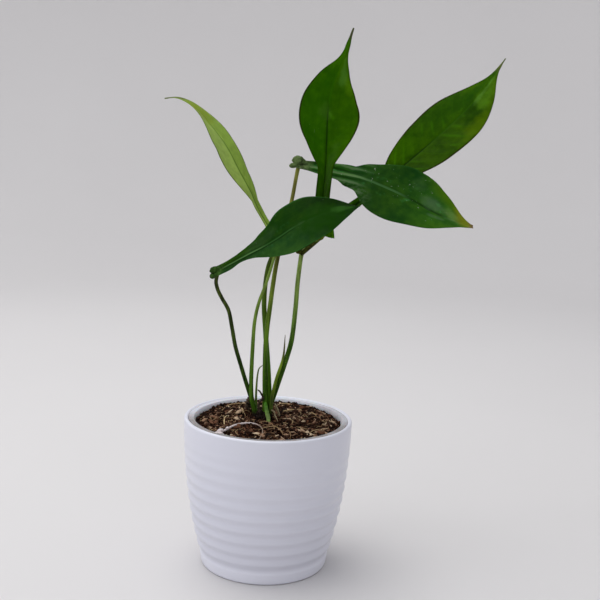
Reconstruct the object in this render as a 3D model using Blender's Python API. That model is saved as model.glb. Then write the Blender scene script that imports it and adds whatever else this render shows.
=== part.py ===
"""A potted philodendron: five leaves on their stalks, in a nursery pot inside a ribbed outer pot.

Sizes are in millimetres and are turned into metres when a mesh is made. The outer pot stands on
z = 0 with its axis on Z, and the plant's front is towards -Y.
"""

import math
from dataclasses import dataclass

import bpy
import numpy as np
from mathutils import Vector, noise

MM = 0.001
GAP = 0.3  # between solids that touch in the real object

# Outer pot: r = POT_RADIUS - POT_FLARE * (1 - z / POT_HEIGHT)^2, with soft waves round it.
POT_HEIGHT = 121.9
POT_RADIUS = 67.8
POT_FLARE = 18.4
POT_WALL = 2.6
POT_FLOOR = 3.0
POT_EDGE = 3.0  # rounding of the bottom edge
POT_SEGMENTS = 40
RIB_PITCH = 9.5
RIB_FIRST = 6.8  # height of the lowest crest
RIB_DEPTH = 0.45
RIB_END = 111.0  # plain band above this
POINTS_PER_RIB = 4

# Nursery pot, standing on the outer pot's floor.
NURSERY_TOP = 118.6
NURSERY_FOOT_RADIUS = 44.0
NURSERY_MOUTH_RADIUS = 60.8  # outside of the wall, below the rolled rim
NURSERY_RIM_RADIUS = 62.0
NURSERY_RIM_HEIGHT = 4.2
NURSERY_WALL = 1.2
NURSERY_SEGMENTS = 40
DRAIN_COUNT = 6
DRAIN_RADIUS = 4.0
DRAIN_CIRCLE = 30.0

# Potting mix: a low mound with an uneven top and a pocket that holds the crown.
SOIL_EDGE_Z = 117.0
SOIL_MOUND = 2.2
SOIL_BUMP = 0.8
SOIL_BUMP_SIZE = 9.0
SOIL_SEGMENTS = 40
SOIL_RINGS = 8

# Crown: the short rootstock that the stalks grow from.
CROWN_CENTRE = (-3.0, 11.0)
CROWN_RADII = (16.0, 12.5)
CROWN_BOTTOM = 100.0
CROWN_TOP = 119.6
CROWN_SEGMENTS = 20
STALK_FOOT = 120.3  # where the stalks start, just clear of the crown

BLADE_THICKNESS = 0.9
EAR_WIDTH = 2.0  # how far the two rounded lobes at a leaf's base stand beyond the strap
EAR_LENGTH = 4.5
EAR_SHARE = 0.07  # share of the leaf's length over which they fade out
NOTCH_SHARE = 0.27  # share of the half width that the notch between them takes
LEAF_COLUMNS = 9
TIP_HALF_WIDTH = 0.5
TUBE_RESOLUTION = 2  # eight sides
STALK_STEP = 4.5  # between a stalk's points
TRIM_STEP = 3.0
LOOP_STEP = 2.4


@dataclass
class Leaf:
    """One leaf: its blade's midrib from base to tip, its outline, and the stalk under it."""

    name: str
    midrib: list
    faces: tuple  # the way the upper side looks, at the base and at the tip
    strap: float  # half width of the narrow strap behind the blade
    blade: float  # half width that the blade adds to it
    neck: float  # where the blade starts, as a share of the length
    widest: float  # where the blade is widest, as a share of the length
    taper: float  # how slender the tip is drawn out
    rise: tuple  # height of the margins over the midrib, at base, neck and tip
    stalk: list  # points up the stalk, above its foot
    stalk_radii: tuple  # at the foot and at the leaf
    colour: tuple


LEAVES = [
    Leaf(
        name="upright",
        midrib=[(37, 0, 271), (36, -4, 300), (37, -8, 322), (37, -10, 345), (37, -10, 366),
                (40, -8, 388), (45, -5, 402), (50, -1, 416), (54, 2, 430)],
        faces=((-0.13, -0.97, 0.22), (0.5, -0.85, -0.06)),
        strap=5.7, blade=20.5, neck=0.33, widest=0.59, taper=2.4,
        rise=(0.5, 0.35, 0.08),
        stalk=[(0.6, 14, 129), (0, 14.5, 153), (-4.8, 15, 187), (-7.6, 15.5, 215),
               (-5.2, 16, 252), (2.5, 19, 261), (10, 19, 267), (17, 15, 269),
               (24, 9, 269), (30, 5, 267)],
        stalk_radii=(2.1, 1.4),
        colour=(0.05, 0.16, 0.03),
    ),
    Leaf(
        name="right",
        midrib=[(15, 14, 326), (30, 10, 323), (47, 3, 320), (66, -5, 317), (84, -11, 311),
                (103, -15, 303), (121, -17, 294), (139, -17, 287), (152, -16, 284)],
        faces=((-0.11, -0.88, 0.46), (-0.08, -0.62, 0.78)),
        strap=6.6, blade=24.0, neck=0.31, widest=0.63, taper=1.3,
        rise=(0.48, 0.0, 0.2),
        stalk=[(-3, 8.5, 130), (-4.4, 8, 158), (-3.8, 8.5, 187), (-1.3, 10, 208),
               (2.3, 12, 248), (7, 14, 276), (10.4, 16, 298)],
        stalk_radii=(2.0, 1.2),
        colour=(0.02, 0.09, 0.04),
    ),
    Leaf(
        name="back",
        midrib=[(20, 16, 255), (40, 20, 273), (66, 25, 296), (83, 29, 311), (101, 32, 327),
                (126, 36, 350), (154, 39, 379), (170, 39, 401), (178, 38, 415)],
        faces=((-0.24, -0.87, 0.42), (-0.46, -0.71, 0.53)),
        strap=5.8, blade=24.0, neck=0.35, widest=0.68, taper=1.7,
        rise=(0.5, 0.29, -0.15),
        stalk=[(3.6, 8.8, 130), (6.7, 9, 145), (12.4, 9, 168), (15.8, 9, 183),
               (18.6, 11, 209), (19.9, 13.5, 232)],
        stalk_radii=(2.0, 1.6),
        colour=(0.07, 0.19, 0.03),
    ),
    Leaf(
        name="front",
        midrib=[(-47, -8, 239), (-33, -16, 248), (-20, -22, 256), (-8, -27, 263), (2, -31, 270),
                (14, -34, 279), (27, -36, 287), (45, -34, 294), (64, -29, 297)],
        faces=((0.05, -0.81, 0.58), (0.04, -0.62, 0.79)),
        strap=4.4, blade=21.0, neck=0.25, widest=0.66, taper=1.3,
        rise=(0.35, 0.1, -0.1),
        stalk=[(-15.4, 8.6, 130), (-17.2, 8, 140), (-23.4, 5.5, 163), (-28.2, 4, 178),
               (-31.4, 3, 193), (-35, 2, 208), (-38.8, 1, 218), (-42.8, 0, 225),
               (-45.4, -1.5, 231)],
        stalk_radii=(1.8, 1.3),
        colour=(0.03, 0.12, 0.04),
    ),
    Leaf(
        name="young",
        midrib=[(3, 6, 263), (-13, 9, 288), (-21, 11, 302), (-31, 13, 319), (-41, 16, 336),
                (-54, 19, 352), (-67, 21, 365), (-78, 22, 371), (-92, 22, 372)],
        faces=((0.48, -0.58, 0.66), (0.59, -0.04, 0.81)),
        strap=3.4, blade=16.8, neck=0.25, widest=0.59, taper=1.3,
        rise=(0.42, 0.0, 0.13),
        stalk=[(-13.6, 15, 130), (-14.8, 12.5, 147), (-16.1, 9, 178), (-15.5, 7, 199),
               (-12.9, 5, 214), (-7.6, 4, 231), (-2.5, 4, 249)],
        stalk_radii=(1.8, 1.3),
        colour=(0.24, 0.36, 0.08),
    ),
]

# Where each stalk stands on the crown.
STALK_FEET = {
    "upright": (0.8, 14.0),
    "right": (-3.4, 8.5),
    "back": (3.5, 8.5),
    "front": (-14.3, 8.8),
    "young": (-12.2, 15.5),
}

# Small pieces at the crown: points, radius at each end, and colour.
TRIMS = {
    "stalk_sheath": (
        [(0.4, 4.4, 120.4), (2.4, 4.6, 136), (5.2, 4.5, 152.5), (9, 4.5, 172), (10.8, 5, 189)],
        (1.2, 0.4), (0.2, 0.3, 0.08),
    ),
    "new_shoot": (
        [(-9.8, 10.6, 120.4), (-11.4, 11, 135), (-11.5, 11, 144), (-10.9, 11, 154), (-9.4, 11, 159),
         (-6.2, 11, 162)],
        (0.9, 0.4), (0.25, 0.3, 0.08),
    ),
    "cut_stub": ([(0.4, 1.2, 120.3), (-1.7, 1.6, 125), (-3.6, 2, 131)], (1.9, 1.7), (0.3, 0.42, 0.12)),
    "dry_scale": (
        [(-8, 5.5, 120.4), (-6.2, 5.4, 130), (-6, 5.6, 135), (-6.6, 6, 138.5), (-9.4, 6, 142)],
        (1.3, 0.4), (0.07, 0.04, 0.02),
    ),
    "old_stump": (
        [(-16.6, 14.5, 120.6), (-17.2, 14.5, 127), (-17.4, 14.5, 133.5)],
        (2.0, 1.5), (0.06, 0.04, 0.02),
    ),
    "root_behind": (
        [(5.6, 11.3, 127.6), (7.2, 14, 125.6), (9.4, 17, 122.6), (12, 20.5, 120.6)],
        (0.9, 0.6), (0.16, 0.1, 0.05),
    ),
    "root_front": (
        [(4.7, 5.3, 124.6), (6.4, 2.6, 123.4), (7.6, -0.6, 121.6), (9, -4, 120.9)],
        (0.9, 0.6), (0.16, 0.1, 0.05),
    ),
}

# Label loop of clear nylon, lying on the mix: x, y and radius along it.
LABEL_LOOP = [
    (-36.9, -43.6, 1.2), (-35.9, -41.6, 2.4), (-34.6, -38.8, 2.0), (-33.4, -36.2, 0.6),
    (-30.6, -30.2, 0.9), (-25.9, -21.3, 0.55), (-20.4, -15, 0.5), (-14.9, -13.3, 0.5),
    (-9.2, -15, 0.5), (-4.5, -22.9, 0.5), (-3, -35, 0.5), (-4.2, -47.5, 0.5), (-6, -56, 0.5),
]
LABEL_CLEARANCE = 0.9  # room under the loop for the mix's bumps


def clear_scene():
    for obj in list(bpy.data.objects):
        bpy.data.objects.remove(obj, do_unlink=True)


def material(name, colour, roughness):
    made = bpy.data.materials.new(name)
    made.use_nodes = True
    made.diffuse_color = (*colour, 1)
    shader = made.node_tree.nodes["Principled BSDF"]
    shader.inputs["Base Color"].default_value = (*colour, 1)
    shader.inputs["Roughness"].default_value = roughness
    shader.inputs["Metallic"].default_value = 0.0
    return made


def add_object(name, data, finish):
    obj = bpy.data.objects.new(name, data)
    bpy.context.scene.collection.objects.link(obj)
    data.materials.append(finish)
    return obj


def mesh_from(name, points, faces, edges=()):
    mesh = bpy.data.meshes.new(name)
    mesh.from_pydata([tuple(c * MM for c in p) for p in points], list(edges), faces)
    mesh.validate()
    return mesh


def turned(name, profile, segments, finish):
    """A solid turned about Z. The profile runs from the axis over the inside, then down the outside."""
    edges = [(i, i + 1) for i in range(len(profile) - 1)]
    mesh = mesh_from(name, [(r, 0, z) for r, z in profile], [], edges)
    obj = add_object(name, mesh, finish)
    screw = obj.modifiers.new("Turn", "SCREW")
    screw.axis = "Z"
    screw.steps = screw.render_steps = segments
    screw.use_merge_vertices = True
    screw.merge_threshold = 0.0001
    screw.use_smooth_shade = True
    return obj


def rings_solid(name, rings, finish):
    """A closed solid through rings of equal length, bottom to top, each end closed at its centre."""
    count = len(rings[0])
    points = [p for ring in rings for p in ring]
    faces = []
    for level in range(len(rings) - 1):
        for i in range(count):
            j = (i + 1) % count
            low, high = level * count, (level + 1) * count
            faces.append((low + i, low + j, high + j, high + i))
    bottom, top = len(points), len(points) + 1
    points += [tuple(np.mean(rings[0], axis=0)), tuple(np.mean(rings[-1], axis=0))]
    last = (len(rings) - 1) * count
    for i in range(count):
        j = (i + 1) % count
        faces.append((bottom, j, i))
        faces.append((top, last + i, last + j))
    obj = add_object(name, mesh_from(name, points, faces), finish)
    obj.data.shade_smooth()
    return obj


def smooth_path(points, step):
    """Points about a step apart on a smooth curve through the given ones (centripetal Catmull-Rom)."""
    p = np.array(points, float)
    p = np.vstack([2 * p[0] - p[1], p, 2 * p[-1] - p[-2]])
    knots = np.concatenate([[0], np.cumsum(np.linalg.norm(np.diff(p[:, :3], axis=0), axis=1) ** 0.5)])
    dense = []
    for i in range(1, len(p) - 2):
        k0, k1, k2, k3 = knots[i - 1:i + 3]
        t = np.linspace(k1, k2, 20, endpoint=False)[:, None]
        a = ((k1 - t) * p[i - 1] + (t - k0) * p[i]) / (k1 - k0)
        b = ((k2 - t) * p[i] + (t - k1) * p[i + 1]) / (k2 - k1)
        c = ((k3 - t) * p[i + 1] + (t - k2) * p[i + 2]) / (k3 - k2)
        ab = ((k2 - t) * a + (t - k0) * b) / (k2 - k0)
        bc = ((k3 - t) * b + (t - k1) * c) / (k3 - k1)
        dense.append(((k2 - t) * ab + (t - k1) * bc) / (k2 - k1))
    dense = np.vstack([*dense, p[-2][None]])
    along = np.concatenate([[0], np.cumsum(np.linalg.norm(np.diff(dense[:, :3], axis=0), axis=1))])
    places = np.linspace(0, along[-1], max(2, round(along[-1] / step) + 1))
    return np.stack([np.interp(places, along, dense[:, i]) for i in range(dense.shape[1])], 1)


def tube(name, path, radii, finish):
    """A round, tapered rod along the path, with closed ends."""
    curve = bpy.data.curves.new(name, "CURVE")
    curve.dimensions = "3D"
    curve.bevel_depth = MM
    curve.bevel_resolution = TUBE_RESOLUTION
    curve.use_fill_caps = True
    spline = curve.splines.new("POLY")
    spline.points.add(len(path) - 1)
    for point, place, radius in zip(spline.points, path, radii):
        point.co = (*(c * MM for c in place[:3]), 1)
        point.radius = radius
    return add_object(name, curve, finish)


def tapered(path, ends):
    """A radius for each point of the path, from the first end's to the last's."""
    return np.linspace(ends[0], ends[1], len(path))


def pot_radius(z):
    """The outer pot's radius at a height, with its waves, which fade out under the plain band."""
    wave = math.cos(2 * math.pi * (z - RIB_FIRST) / RIB_PITCH)
    fade = min(1.0, max(0.0, (RIB_END - z) / RIB_PITCH))
    return POT_RADIUS - POT_FLARE * (1 - z / POT_HEIGHT) ** 2 + RIB_DEPTH * wave * fade


def arc(centre, radius, start, end, count):
    """Points (r, z) on an arc in the profile's plane, angles in degrees from +r."""
    angles = [math.radians(start + (end - start) * i / (count - 1)) for i in range(count)]
    return [(centre[0] + radius * math.cos(a), centre[1] + radius * math.sin(a)) for a in angles]


def make_outer_pot():
    finish = material("pot_plastic", (0.8, 0.82, 0.86), 0.35)
    inner_heights = [POT_FLOOR + 3, 20, 40, 65, 90, POT_HEIGHT - POT_WALL / 2]
    inner = [(pot_radius(z) - POT_WALL, z) for z in inner_heights]
    inner = [(0, POT_FLOOR), (inner[0][0] - 3, POT_FLOOR), *inner]
    lip_centre = (POT_RADIUS - POT_WALL / 2, POT_HEIGHT - POT_WALL / 2)
    lip = arc(lip_centre, POT_WALL / 2, 150, 0, 5)
    step = RIB_PITCH / POINTS_PER_RIB
    count = int((RIB_END - POT_EDGE - RIB_PITCH / 4) / step)
    waves = [(pot_radius(RIB_END - i * step), RIB_END - i * step) for i in range(count)]
    foot_radius = pot_radius(POT_EDGE)
    foot = arc((foot_radius - POT_EDGE, POT_EDGE), POT_EDGE, 0, -90, 4)
    return turned("outer_pot", [*inner, *lip, *waves, *foot, (0, 0)], POT_SEGMENTS, finish)


def nursery_inner_radius(z):
    share = (z - POT_FLOOR) / (NURSERY_TOP - POT_FLOOR)
    outer = NURSERY_FOOT_RADIUS + (NURSERY_MOUTH_RADIUS - NURSERY_FOOT_RADIUS) * share
    return outer - NURSERY_WALL


def make_nursery_pot():
    finish = material("nursery_plastic", (0.72, 0.74, 0.75), 0.45)
    floor = POT_FLOOR + GAP
    inside = floor + NURSERY_WALL
    under_rim = NURSERY_TOP - NURSERY_RIM_HEIGHT
    roll = arc((NURSERY_RIM_RADIUS - 1.2, NURSERY_TOP - 1.2), 1.2, 130, 0, 4)
    profile = [
        (0, inside),
        (nursery_inner_radius(inside) - 1.5, inside),
        (nursery_inner_radius(inside + 1.5), inside + 1.5),
        (nursery_inner_radius(under_rim), under_rim),
        (nursery_inner_radius(NURSERY_TOP - 0.8), NURSERY_TOP - 0.8),
        *roll,
        (NURSERY_RIM_RADIUS, under_rim),
        (nursery_inner_radius(under_rim) + NURSERY_WALL, under_rim),
        (NURSERY_FOOT_RADIUS, floor + 0.8),
        (NURSERY_FOOT_RADIUS - 0.8, floor),
        (0, floor),
    ]
    pot = turned("nursery_pot", profile, NURSERY_SEGMENTS, finish)
    cut = pot.modifiers.new("Drain holes", "BOOLEAN")
    cut.operation = "DIFFERENCE"
    cut.object = drain_cutter(floor)
    return pot


def drain_cutter(floor):
    """Upright pins, one for each drain hole in the nursery pot's floor."""
    points, faces, sides = [], [], 12
    for hole in range(DRAIN_COUNT):
        turn = 2 * math.pi * hole / DRAIN_COUNT
        start = len(points)
        for z in (floor - 2, floor + NURSERY_WALL + 2):
            for i in range(sides):
                a = 2 * math.pi * i / sides
                points.append((DRAIN_CIRCLE * math.cos(turn) + DRAIN_RADIUS * math.cos(a),
                               DRAIN_CIRCLE * math.sin(turn) + DRAIN_RADIUS * math.sin(a), z))
        for i in range(sides):
            j = (i + 1) % sides
            faces.append((start + i, start + j, start + sides + j, start + sides + i))
        faces.append(tuple(start + i for i in reversed(range(sides))))
        faces.append(tuple(start + sides + i for i in range(sides)))
    cutter = bpy.data.objects.new("drain_cutter", mesh_from("drain_cutter", points, faces))
    bpy.context.scene.collection.objects.link(cutter)
    cutter.hide_render = True
    cutter.display_type = "WIRE"
    return cutter


def soil_radius(z):
    return nursery_inner_radius(z) - GAP - 0.15


def soil_height(x, y):
    """Height of the mix's top: a low mound with bumps."""
    share = min(1.0, math.hypot(x, y) / soil_radius(SOIL_EDGE_Z))
    bump = noise.noise(Vector((x / SOIL_BUMP_SIZE, y / SOIL_BUMP_SIZE, 0.5)))
    return SOIL_EDGE_Z + SOIL_MOUND * (1 - share**2) + SOIL_BUMP * bump


def crown_ring(scale, z, count, margin=0.0):
    angles = [2 * math.pi * i / count for i in range(count)]
    return [(CROWN_CENTRE[0] + (CROWN_RADII[0] * scale + margin) * math.cos(a),
             CROWN_CENTRE[1] + (CROWN_RADII[1] * scale + margin) * math.sin(a), z) for a in angles]


def make_potting_mix():
    """Rings run from the floor up the side, in over the top, and down into the crown's pocket."""
    finish = material("potting_mix", (0.06, 0.035, 0.022), 0.95)
    floor = POT_FLOOR + GAP + NURSERY_WALL + 0.4
    angles = [2 * math.pi * i / SOIL_SEGMENTS for i in range(SOIL_SEGMENTS)]

    def circle(radius, z):
        return [(radius * math.cos(a), radius * math.sin(a), z) for a in angles]

    side_heights = (floor + 2.0, 60.0, SOIL_EDGE_Z - 1.5)
    rings = [circle(soil_radius(floor) - 2.0, floor)]
    rings += [circle(soil_radius(z), z) for z in side_heights]
    edge = circle(soil_radius(SOIL_EDGE_Z), 0)
    mouth = crown_ring(1.0, 0, SOIL_SEGMENTS, margin=0.6)
    for level in range(SOIL_RINGS):
        share = level / (SOIL_RINGS - 1)
        ring = []
        for a, b in zip(edge, mouth):
            x = a[0] + (b[0] - a[0]) * share
            y = a[1] + (b[1] - a[1]) * share
            ring.append((x, y, soil_height(x, y)))
        rings.append(ring)
    rings.append(crown_ring(1.0, CROWN_BOTTOM + 8, SOIL_SEGMENTS, margin=0.6))
    rings.append(crown_ring(0.6, CROWN_BOTTOM - 0.6, SOIL_SEGMENTS, margin=0.6))
    return rings_solid("potting_mix", rings, finish)


def make_crown():
    finish = material("crown", (0.09, 0.07, 0.035), 0.85)
    outline = ((0.55, CROWN_BOTTOM), (0.85, 105), (1.0, 111), (0.98, 116), (0.85, 118.6), (0.5, 119.4))
    rings = [crown_ring(scale, z, CROWN_SEGMENTS) for scale, z in outline]
    crown = rings_solid("crown", rings, finish)
    crown.data.vertices[-1].co.z = CROWN_TOP * MM
    return crown


def unit(v):
    return v / np.linalg.norm(v, axis=-1, keepdims=True)


def leaf_frame(leaf, shares):
    """Midrib points, directions along it, and the way its upper side looks, at shares of its length."""
    fine = smooth_path(leaf.midrib, 1.0)
    at = shares * (len(fine) - 1)
    index = np.arange(len(fine))
    spine = np.stack([np.interp(at, index, fine[:, i]) for i in range(3)], 1)
    slope = np.gradient(fine, axis=0)
    along = unit(np.stack([np.interp(at, index, slope[:, i]) for i in range(3)], 1))
    base, tip = np.array(leaf.faces, float)
    look = base + (tip - base) * shares[:, None]
    look = unit(look - (look * along).sum(1, keepdims=True) * along)
    return spine, along, look


def half_width(leaf, shares):
    """Strap, then an ovate blade that is drawn out to the tip."""
    x = np.clip((shares - leaf.neck) / (1 - leaf.neck), 0, 1)
    peak = (leaf.widest - leaf.neck) / (1 - leaf.neck)
    lead = leaf.taper * peak / (1 - peak)
    bulge = (x / peak) ** lead * ((1 - x) / (1 - peak)) ** leaf.taper
    strap = leaf.strap * np.sqrt(np.clip((1 - shares) / (1 - leaf.neck), 0, 1)) * (1 - x)
    ears = EAR_WIDTH * np.exp(-((shares / EAR_SHARE) ** 2))
    return np.maximum(strap + leaf.blade * bulge + ears, TIP_HALF_WIDTH)


def leaf_grid(leaf, shares, columns):
    """Points of the blade's middle surface, row by row from base to tip."""
    spine, along, look = leaf_frame(leaf, shares)
    across = np.cross(along, look)
    half = half_width(leaf, shares)[:, None]
    rise = np.interp(shares, [0, leaf.neck, 1], leaf.rise)[:, None]
    side = np.linspace(-1, 1, columns)[None, :]
    lobe = np.clip((np.abs(side) - NOTCH_SHARE) / (1 - NOTCH_SHARE), 0, 1)
    fade = np.clip(1 - shares / EAR_SHARE, 0, 1)[:, None] ** 2
    back = EAR_LENGTH * fade * np.sin(np.pi * lobe) ** 0.8
    return (spine[:, None] + (half * side)[..., None] * across[:, None]
            + (half * rise * np.abs(side))[..., None] * look[:, None]
            - back[..., None] * along[:, None])


def make_blade(leaf):
    shares = np.concatenate([[0, 0.02, 0.045, 0.08], np.linspace(0.12, 1, 17)])
    grid = leaf_grid(leaf, shares, LEAF_COLUMNS)
    faces = []
    for row in range(len(shares) - 1):
        for column in range(LEAF_COLUMNS - 1):
            a = row * LEAF_COLUMNS + column
            faces.append((a, a + LEAF_COLUMNS, a + LEAF_COLUMNS + 1, a + 1))
    name = f"leaf_{leaf.name}"
    finish = material(name, leaf.colour, 0.35)
    blade = add_object(name, mesh_from(name, grid.reshape(-1, 3), faces), finish)
    blade.data.shade_smooth()
    solid = blade.modifiers.new("Thickness", "SOLIDIFY")
    solid.thickness = BLADE_THICKNESS * MM
    solid.offset = 0
    return blade


def make_stalk(leaf):
    """The stalk runs from the crown and bends into the notch between the leaf's two lobes."""
    spine, along, look = leaf_frame(leaf, np.array([0.0]))
    base, along, look = spine[0], along[0], look[0]
    foot = (*STALK_FEET[leaf.name], STALK_FOOT)
    knee = base - 3.4 * along - 2.6 * look
    end = base - 0.9 * along - 0.2 * look
    path = smooth_path([foot, *leaf.stalk, knee, end], STALK_STEP)
    finish = material(f"stalk_{leaf.name}", tuple(0.5 * c + 0.04 for c in leaf.colour), 0.5)
    return tube(f"stalk_{leaf.name}", path, tapered(path, leaf.stalk_radii), finish)


def make_trims():
    for name, (points, ends, colour) in TRIMS.items():
        path = smooth_path(points, TRIM_STEP)
        tube(name, path, tapered(path, ends), material(name, colour, 0.6))


def make_label_loop():
    finish = material("label_nylon", (0.85, 0.86, 0.84), 0.3)
    points = []
    for x, y, radius in LABEL_LOOP:
        points.append((x, y, soil_height(x, y) + radius + LABEL_CLEARANCE, radius))
    path = smooth_path(points, LOOP_STEP)
    tube("label_loop", path, path[:, 3], finish)


def main():
    clear_scene()
    make_outer_pot()
    make_nursery_pot()
    make_potting_mix()
    make_crown()
    for leaf in LEAVES:
        make_blade(leaf)
        make_stalk(leaf)
    make_trims()
    make_label_loop()


main()
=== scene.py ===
"""Looks of the potted philodendron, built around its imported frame.

Shapes are worked out in millimetres, in the frame's own axes: the pot stands on z = 0 and the
plant's front is towards -Y. They are turned into metres when a mesh is made.
"""

import math
from dataclasses import dataclass
from functools import reduce

import bmesh
import bpy
import numpy as np
from mathutils import Matrix, Vector, noise


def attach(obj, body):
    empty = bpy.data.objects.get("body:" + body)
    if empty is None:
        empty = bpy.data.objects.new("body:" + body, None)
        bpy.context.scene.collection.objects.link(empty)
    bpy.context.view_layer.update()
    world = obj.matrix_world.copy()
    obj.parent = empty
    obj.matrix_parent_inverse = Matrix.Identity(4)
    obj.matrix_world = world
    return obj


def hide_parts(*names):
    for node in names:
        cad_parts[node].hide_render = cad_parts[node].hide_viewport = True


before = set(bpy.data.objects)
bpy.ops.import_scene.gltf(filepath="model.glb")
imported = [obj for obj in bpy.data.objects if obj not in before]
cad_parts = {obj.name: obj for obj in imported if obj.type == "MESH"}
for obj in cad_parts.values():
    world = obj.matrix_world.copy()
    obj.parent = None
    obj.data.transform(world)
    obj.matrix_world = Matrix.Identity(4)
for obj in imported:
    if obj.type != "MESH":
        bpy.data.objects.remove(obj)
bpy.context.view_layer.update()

MM = 0.001
SEED = 7

# Camera: 60 mm lens, 9.4 degrees down and rolled 2.4 degrees, as the picture was taken.
CAMERA_PLACE = (0.02169, -0.78407, 0.34905)
CAMERA_RIGHT = (0.99912724, 0.0068523, 0.04120433)
CAMERA_UP = (-0.04177022, 0.1639044, 0.9855915)
CAMERA_LENS = 60.0

# Outer pot.
POT_HEIGHT = 121.9
POT_RADIUS = 67.8
POT_FLARE = 18.4
POT_WALL = 2.6
POT_LIP = 3.4
POT_FLOOR = 3.0
POT_EDGE = 2.6
RIB_PITCH = 9.68
RIB_FIRST = 8.1
RIB_DEPTH = 0.8
RIB_END = 111.0
FOOT_SWELL = 0.9

# Nursery pot.
NURSERY_TOP = 121.2
NURSERY_FOOT_RADIUS = 44.0
NURSERY_MOUTH_RADIUS = 60.8
NURSERY_RIM_RADIUS = 64.2
NURSERY_RIM_HEIGHT = 4.2
NURSERY_WALL = 1.2

# Potting mix, and the crown in it.
SOIL_FLOOR = 5.0
SOIL_EDGE_Z = 117.0
SOIL_EDGE_RADIUS = 59.1
SOIL_GAP = 0.45  # between the mix and the nursery pot's wall
SOIL_MOUND = 2.2
SOIL_BANK = 1.7  # how much higher the mix is at the back
SOIL_HUMP = 3.6  # how much higher it is by the old stump
SOIL_LUMPS = ((9.0, 0.5, 0.9), (3.4, 4.0, 0.8), (1.3, 8.0, 0.45))  # width, place in the noise, height
CROWN_CENTRE = (-3.0, 11.0)
CROWN_RADII = (16.0, 12.5)
CROWN_SHOWN = (12, 10)  # half of what shows of it above the mix
CROWN_FOOT = 104.0
CROWN_HEIGHT = 20.6
LOOP_CENTRE = (-17, -33)
LOOP_RADII = (14, 11)
SMALL_CHIPS, LARGE_CHIPS, WALL_CHIPS, CRUMBS, FIBRES = 2500, 190, 620, 4200, 330
CHIP_TILT, LARGE_TILT, WALL_TILT, CRUMB_TILT = 40, 28, 80, 60  # at most, in degrees

# Blades.
EAR_SHARE = 0.07  # of the length, in which the base's ears fade out
NOTCH_SHARE = 0.2  # of the half width, where an ear starts
PLEAT = 0.97  # turn of a strap's folds for each millimetre across
VEIN_PITCH = 11.0
VEIN_SWEEP = 1.6
BLADE_THICK = 0.42
STRAP_THICK = 0.5  # how much thicker the strap is
GROOVE = 0.55  # depth over the midrib
KEEL = 0.9  # height under the midrib
RIB_CHANGES = ((0.3, 0.42), (0.56, 0.66), (0.8, 0.88))  # where the midrib's line changes colour

FLOOR_GAP = 0.00004  # metres from the foot down to the floor
BLACK = (0, 0, 0)
EARTH = (0.016, 0.01, 0.007)
DARK_MARGIN = (0.02, 0.016, 0.002)


@dataclass
class Leaf:
    """One leaf: its blade's midrib from base to tip, its outline, and the stalk under it."""

    name: str
    midrib: list
    faces: tuple  # the way the upper side looks at the base and at the tip
    strap: float  # half width of the narrow part below the blade
    blade: float  # half width of the blade where it is widest
    neck: float  # share of the length where the strap turns into the blade
    widest: float  # share of the length where the blade is widest
    taper: float  # the higher, the more drawn out the blade's ends are
    rise: tuple  # how steeply the halves fold up at the base, the neck and the tip
    foot: tuple  # where the stalk starts in the crown
    stalk: list  # what it passes through on its way up
    stalk_radii: tuple
    slot: str
    trims: tuple  # shares of the length, with what each half is wider there: (share, left, right)
    ears: tuple  # length, width, lift and squareness of the left and right ear
    joint: tuple  # where the stalk turns into the leaf, along the midrib and in front of it
    colours: tuple  # green of the left and right half; in the leaves right and front its blue is painted sheen
    shade: tuple  # how bright the green is in the strap and towards the tip, against the middle: own tone and painted light and shade
    vein_light: float  # how much lighter the side veins are
    rib_colours: tuple  # of the midrib's line in the strap, the lower and upper blade and the tip
    base_colour: tuple  # of the rough end by the stalk
    margin_light: float  # how much lighter the margin's line is; below 0, how much darker
    specks: float  # how many pale dots, and how much dew and painted sheen there is
    tip_colour: tuple
    tip_share: float  # where the tip starts to turn
    stalk_colours: tuple  # at the foot and at the leaf
    wave: float  # height of the margin's waves
    stalk_turn: float = 0.1  # how far up the stalk starts to turn from one colour to the other
    margin_yellow: tuple = (0.0, 0.0)  # how yellow the left and right margin turn towards the tip
    tip_yellow: float = 0.0  # how yellow the tip is before its end
    wear_and_fold_shade: float = 0.0  # scuffs on the neck, and painted shade and highlights on the strap's folds
    strap_dark: float = 0.0  # how much darker the strap's right half is
    rib_dark: tuple = (0.0, 0.0)  # how dark the lines to the left and right of the midrib are
    rib_width: float = 0.95  # how far the midrib's line reaches to each side
    pleats: float = 0.0  # height of the strap's long folds
    patches: tuple = ()  # soft patches, the pale ones painted sheen: share, side, their reach along and across, amount and colour
    bands: tuple = ()  # where the stalk has another colour, some its own, some painted shade and highlights: share, reach, amount and colour


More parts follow.
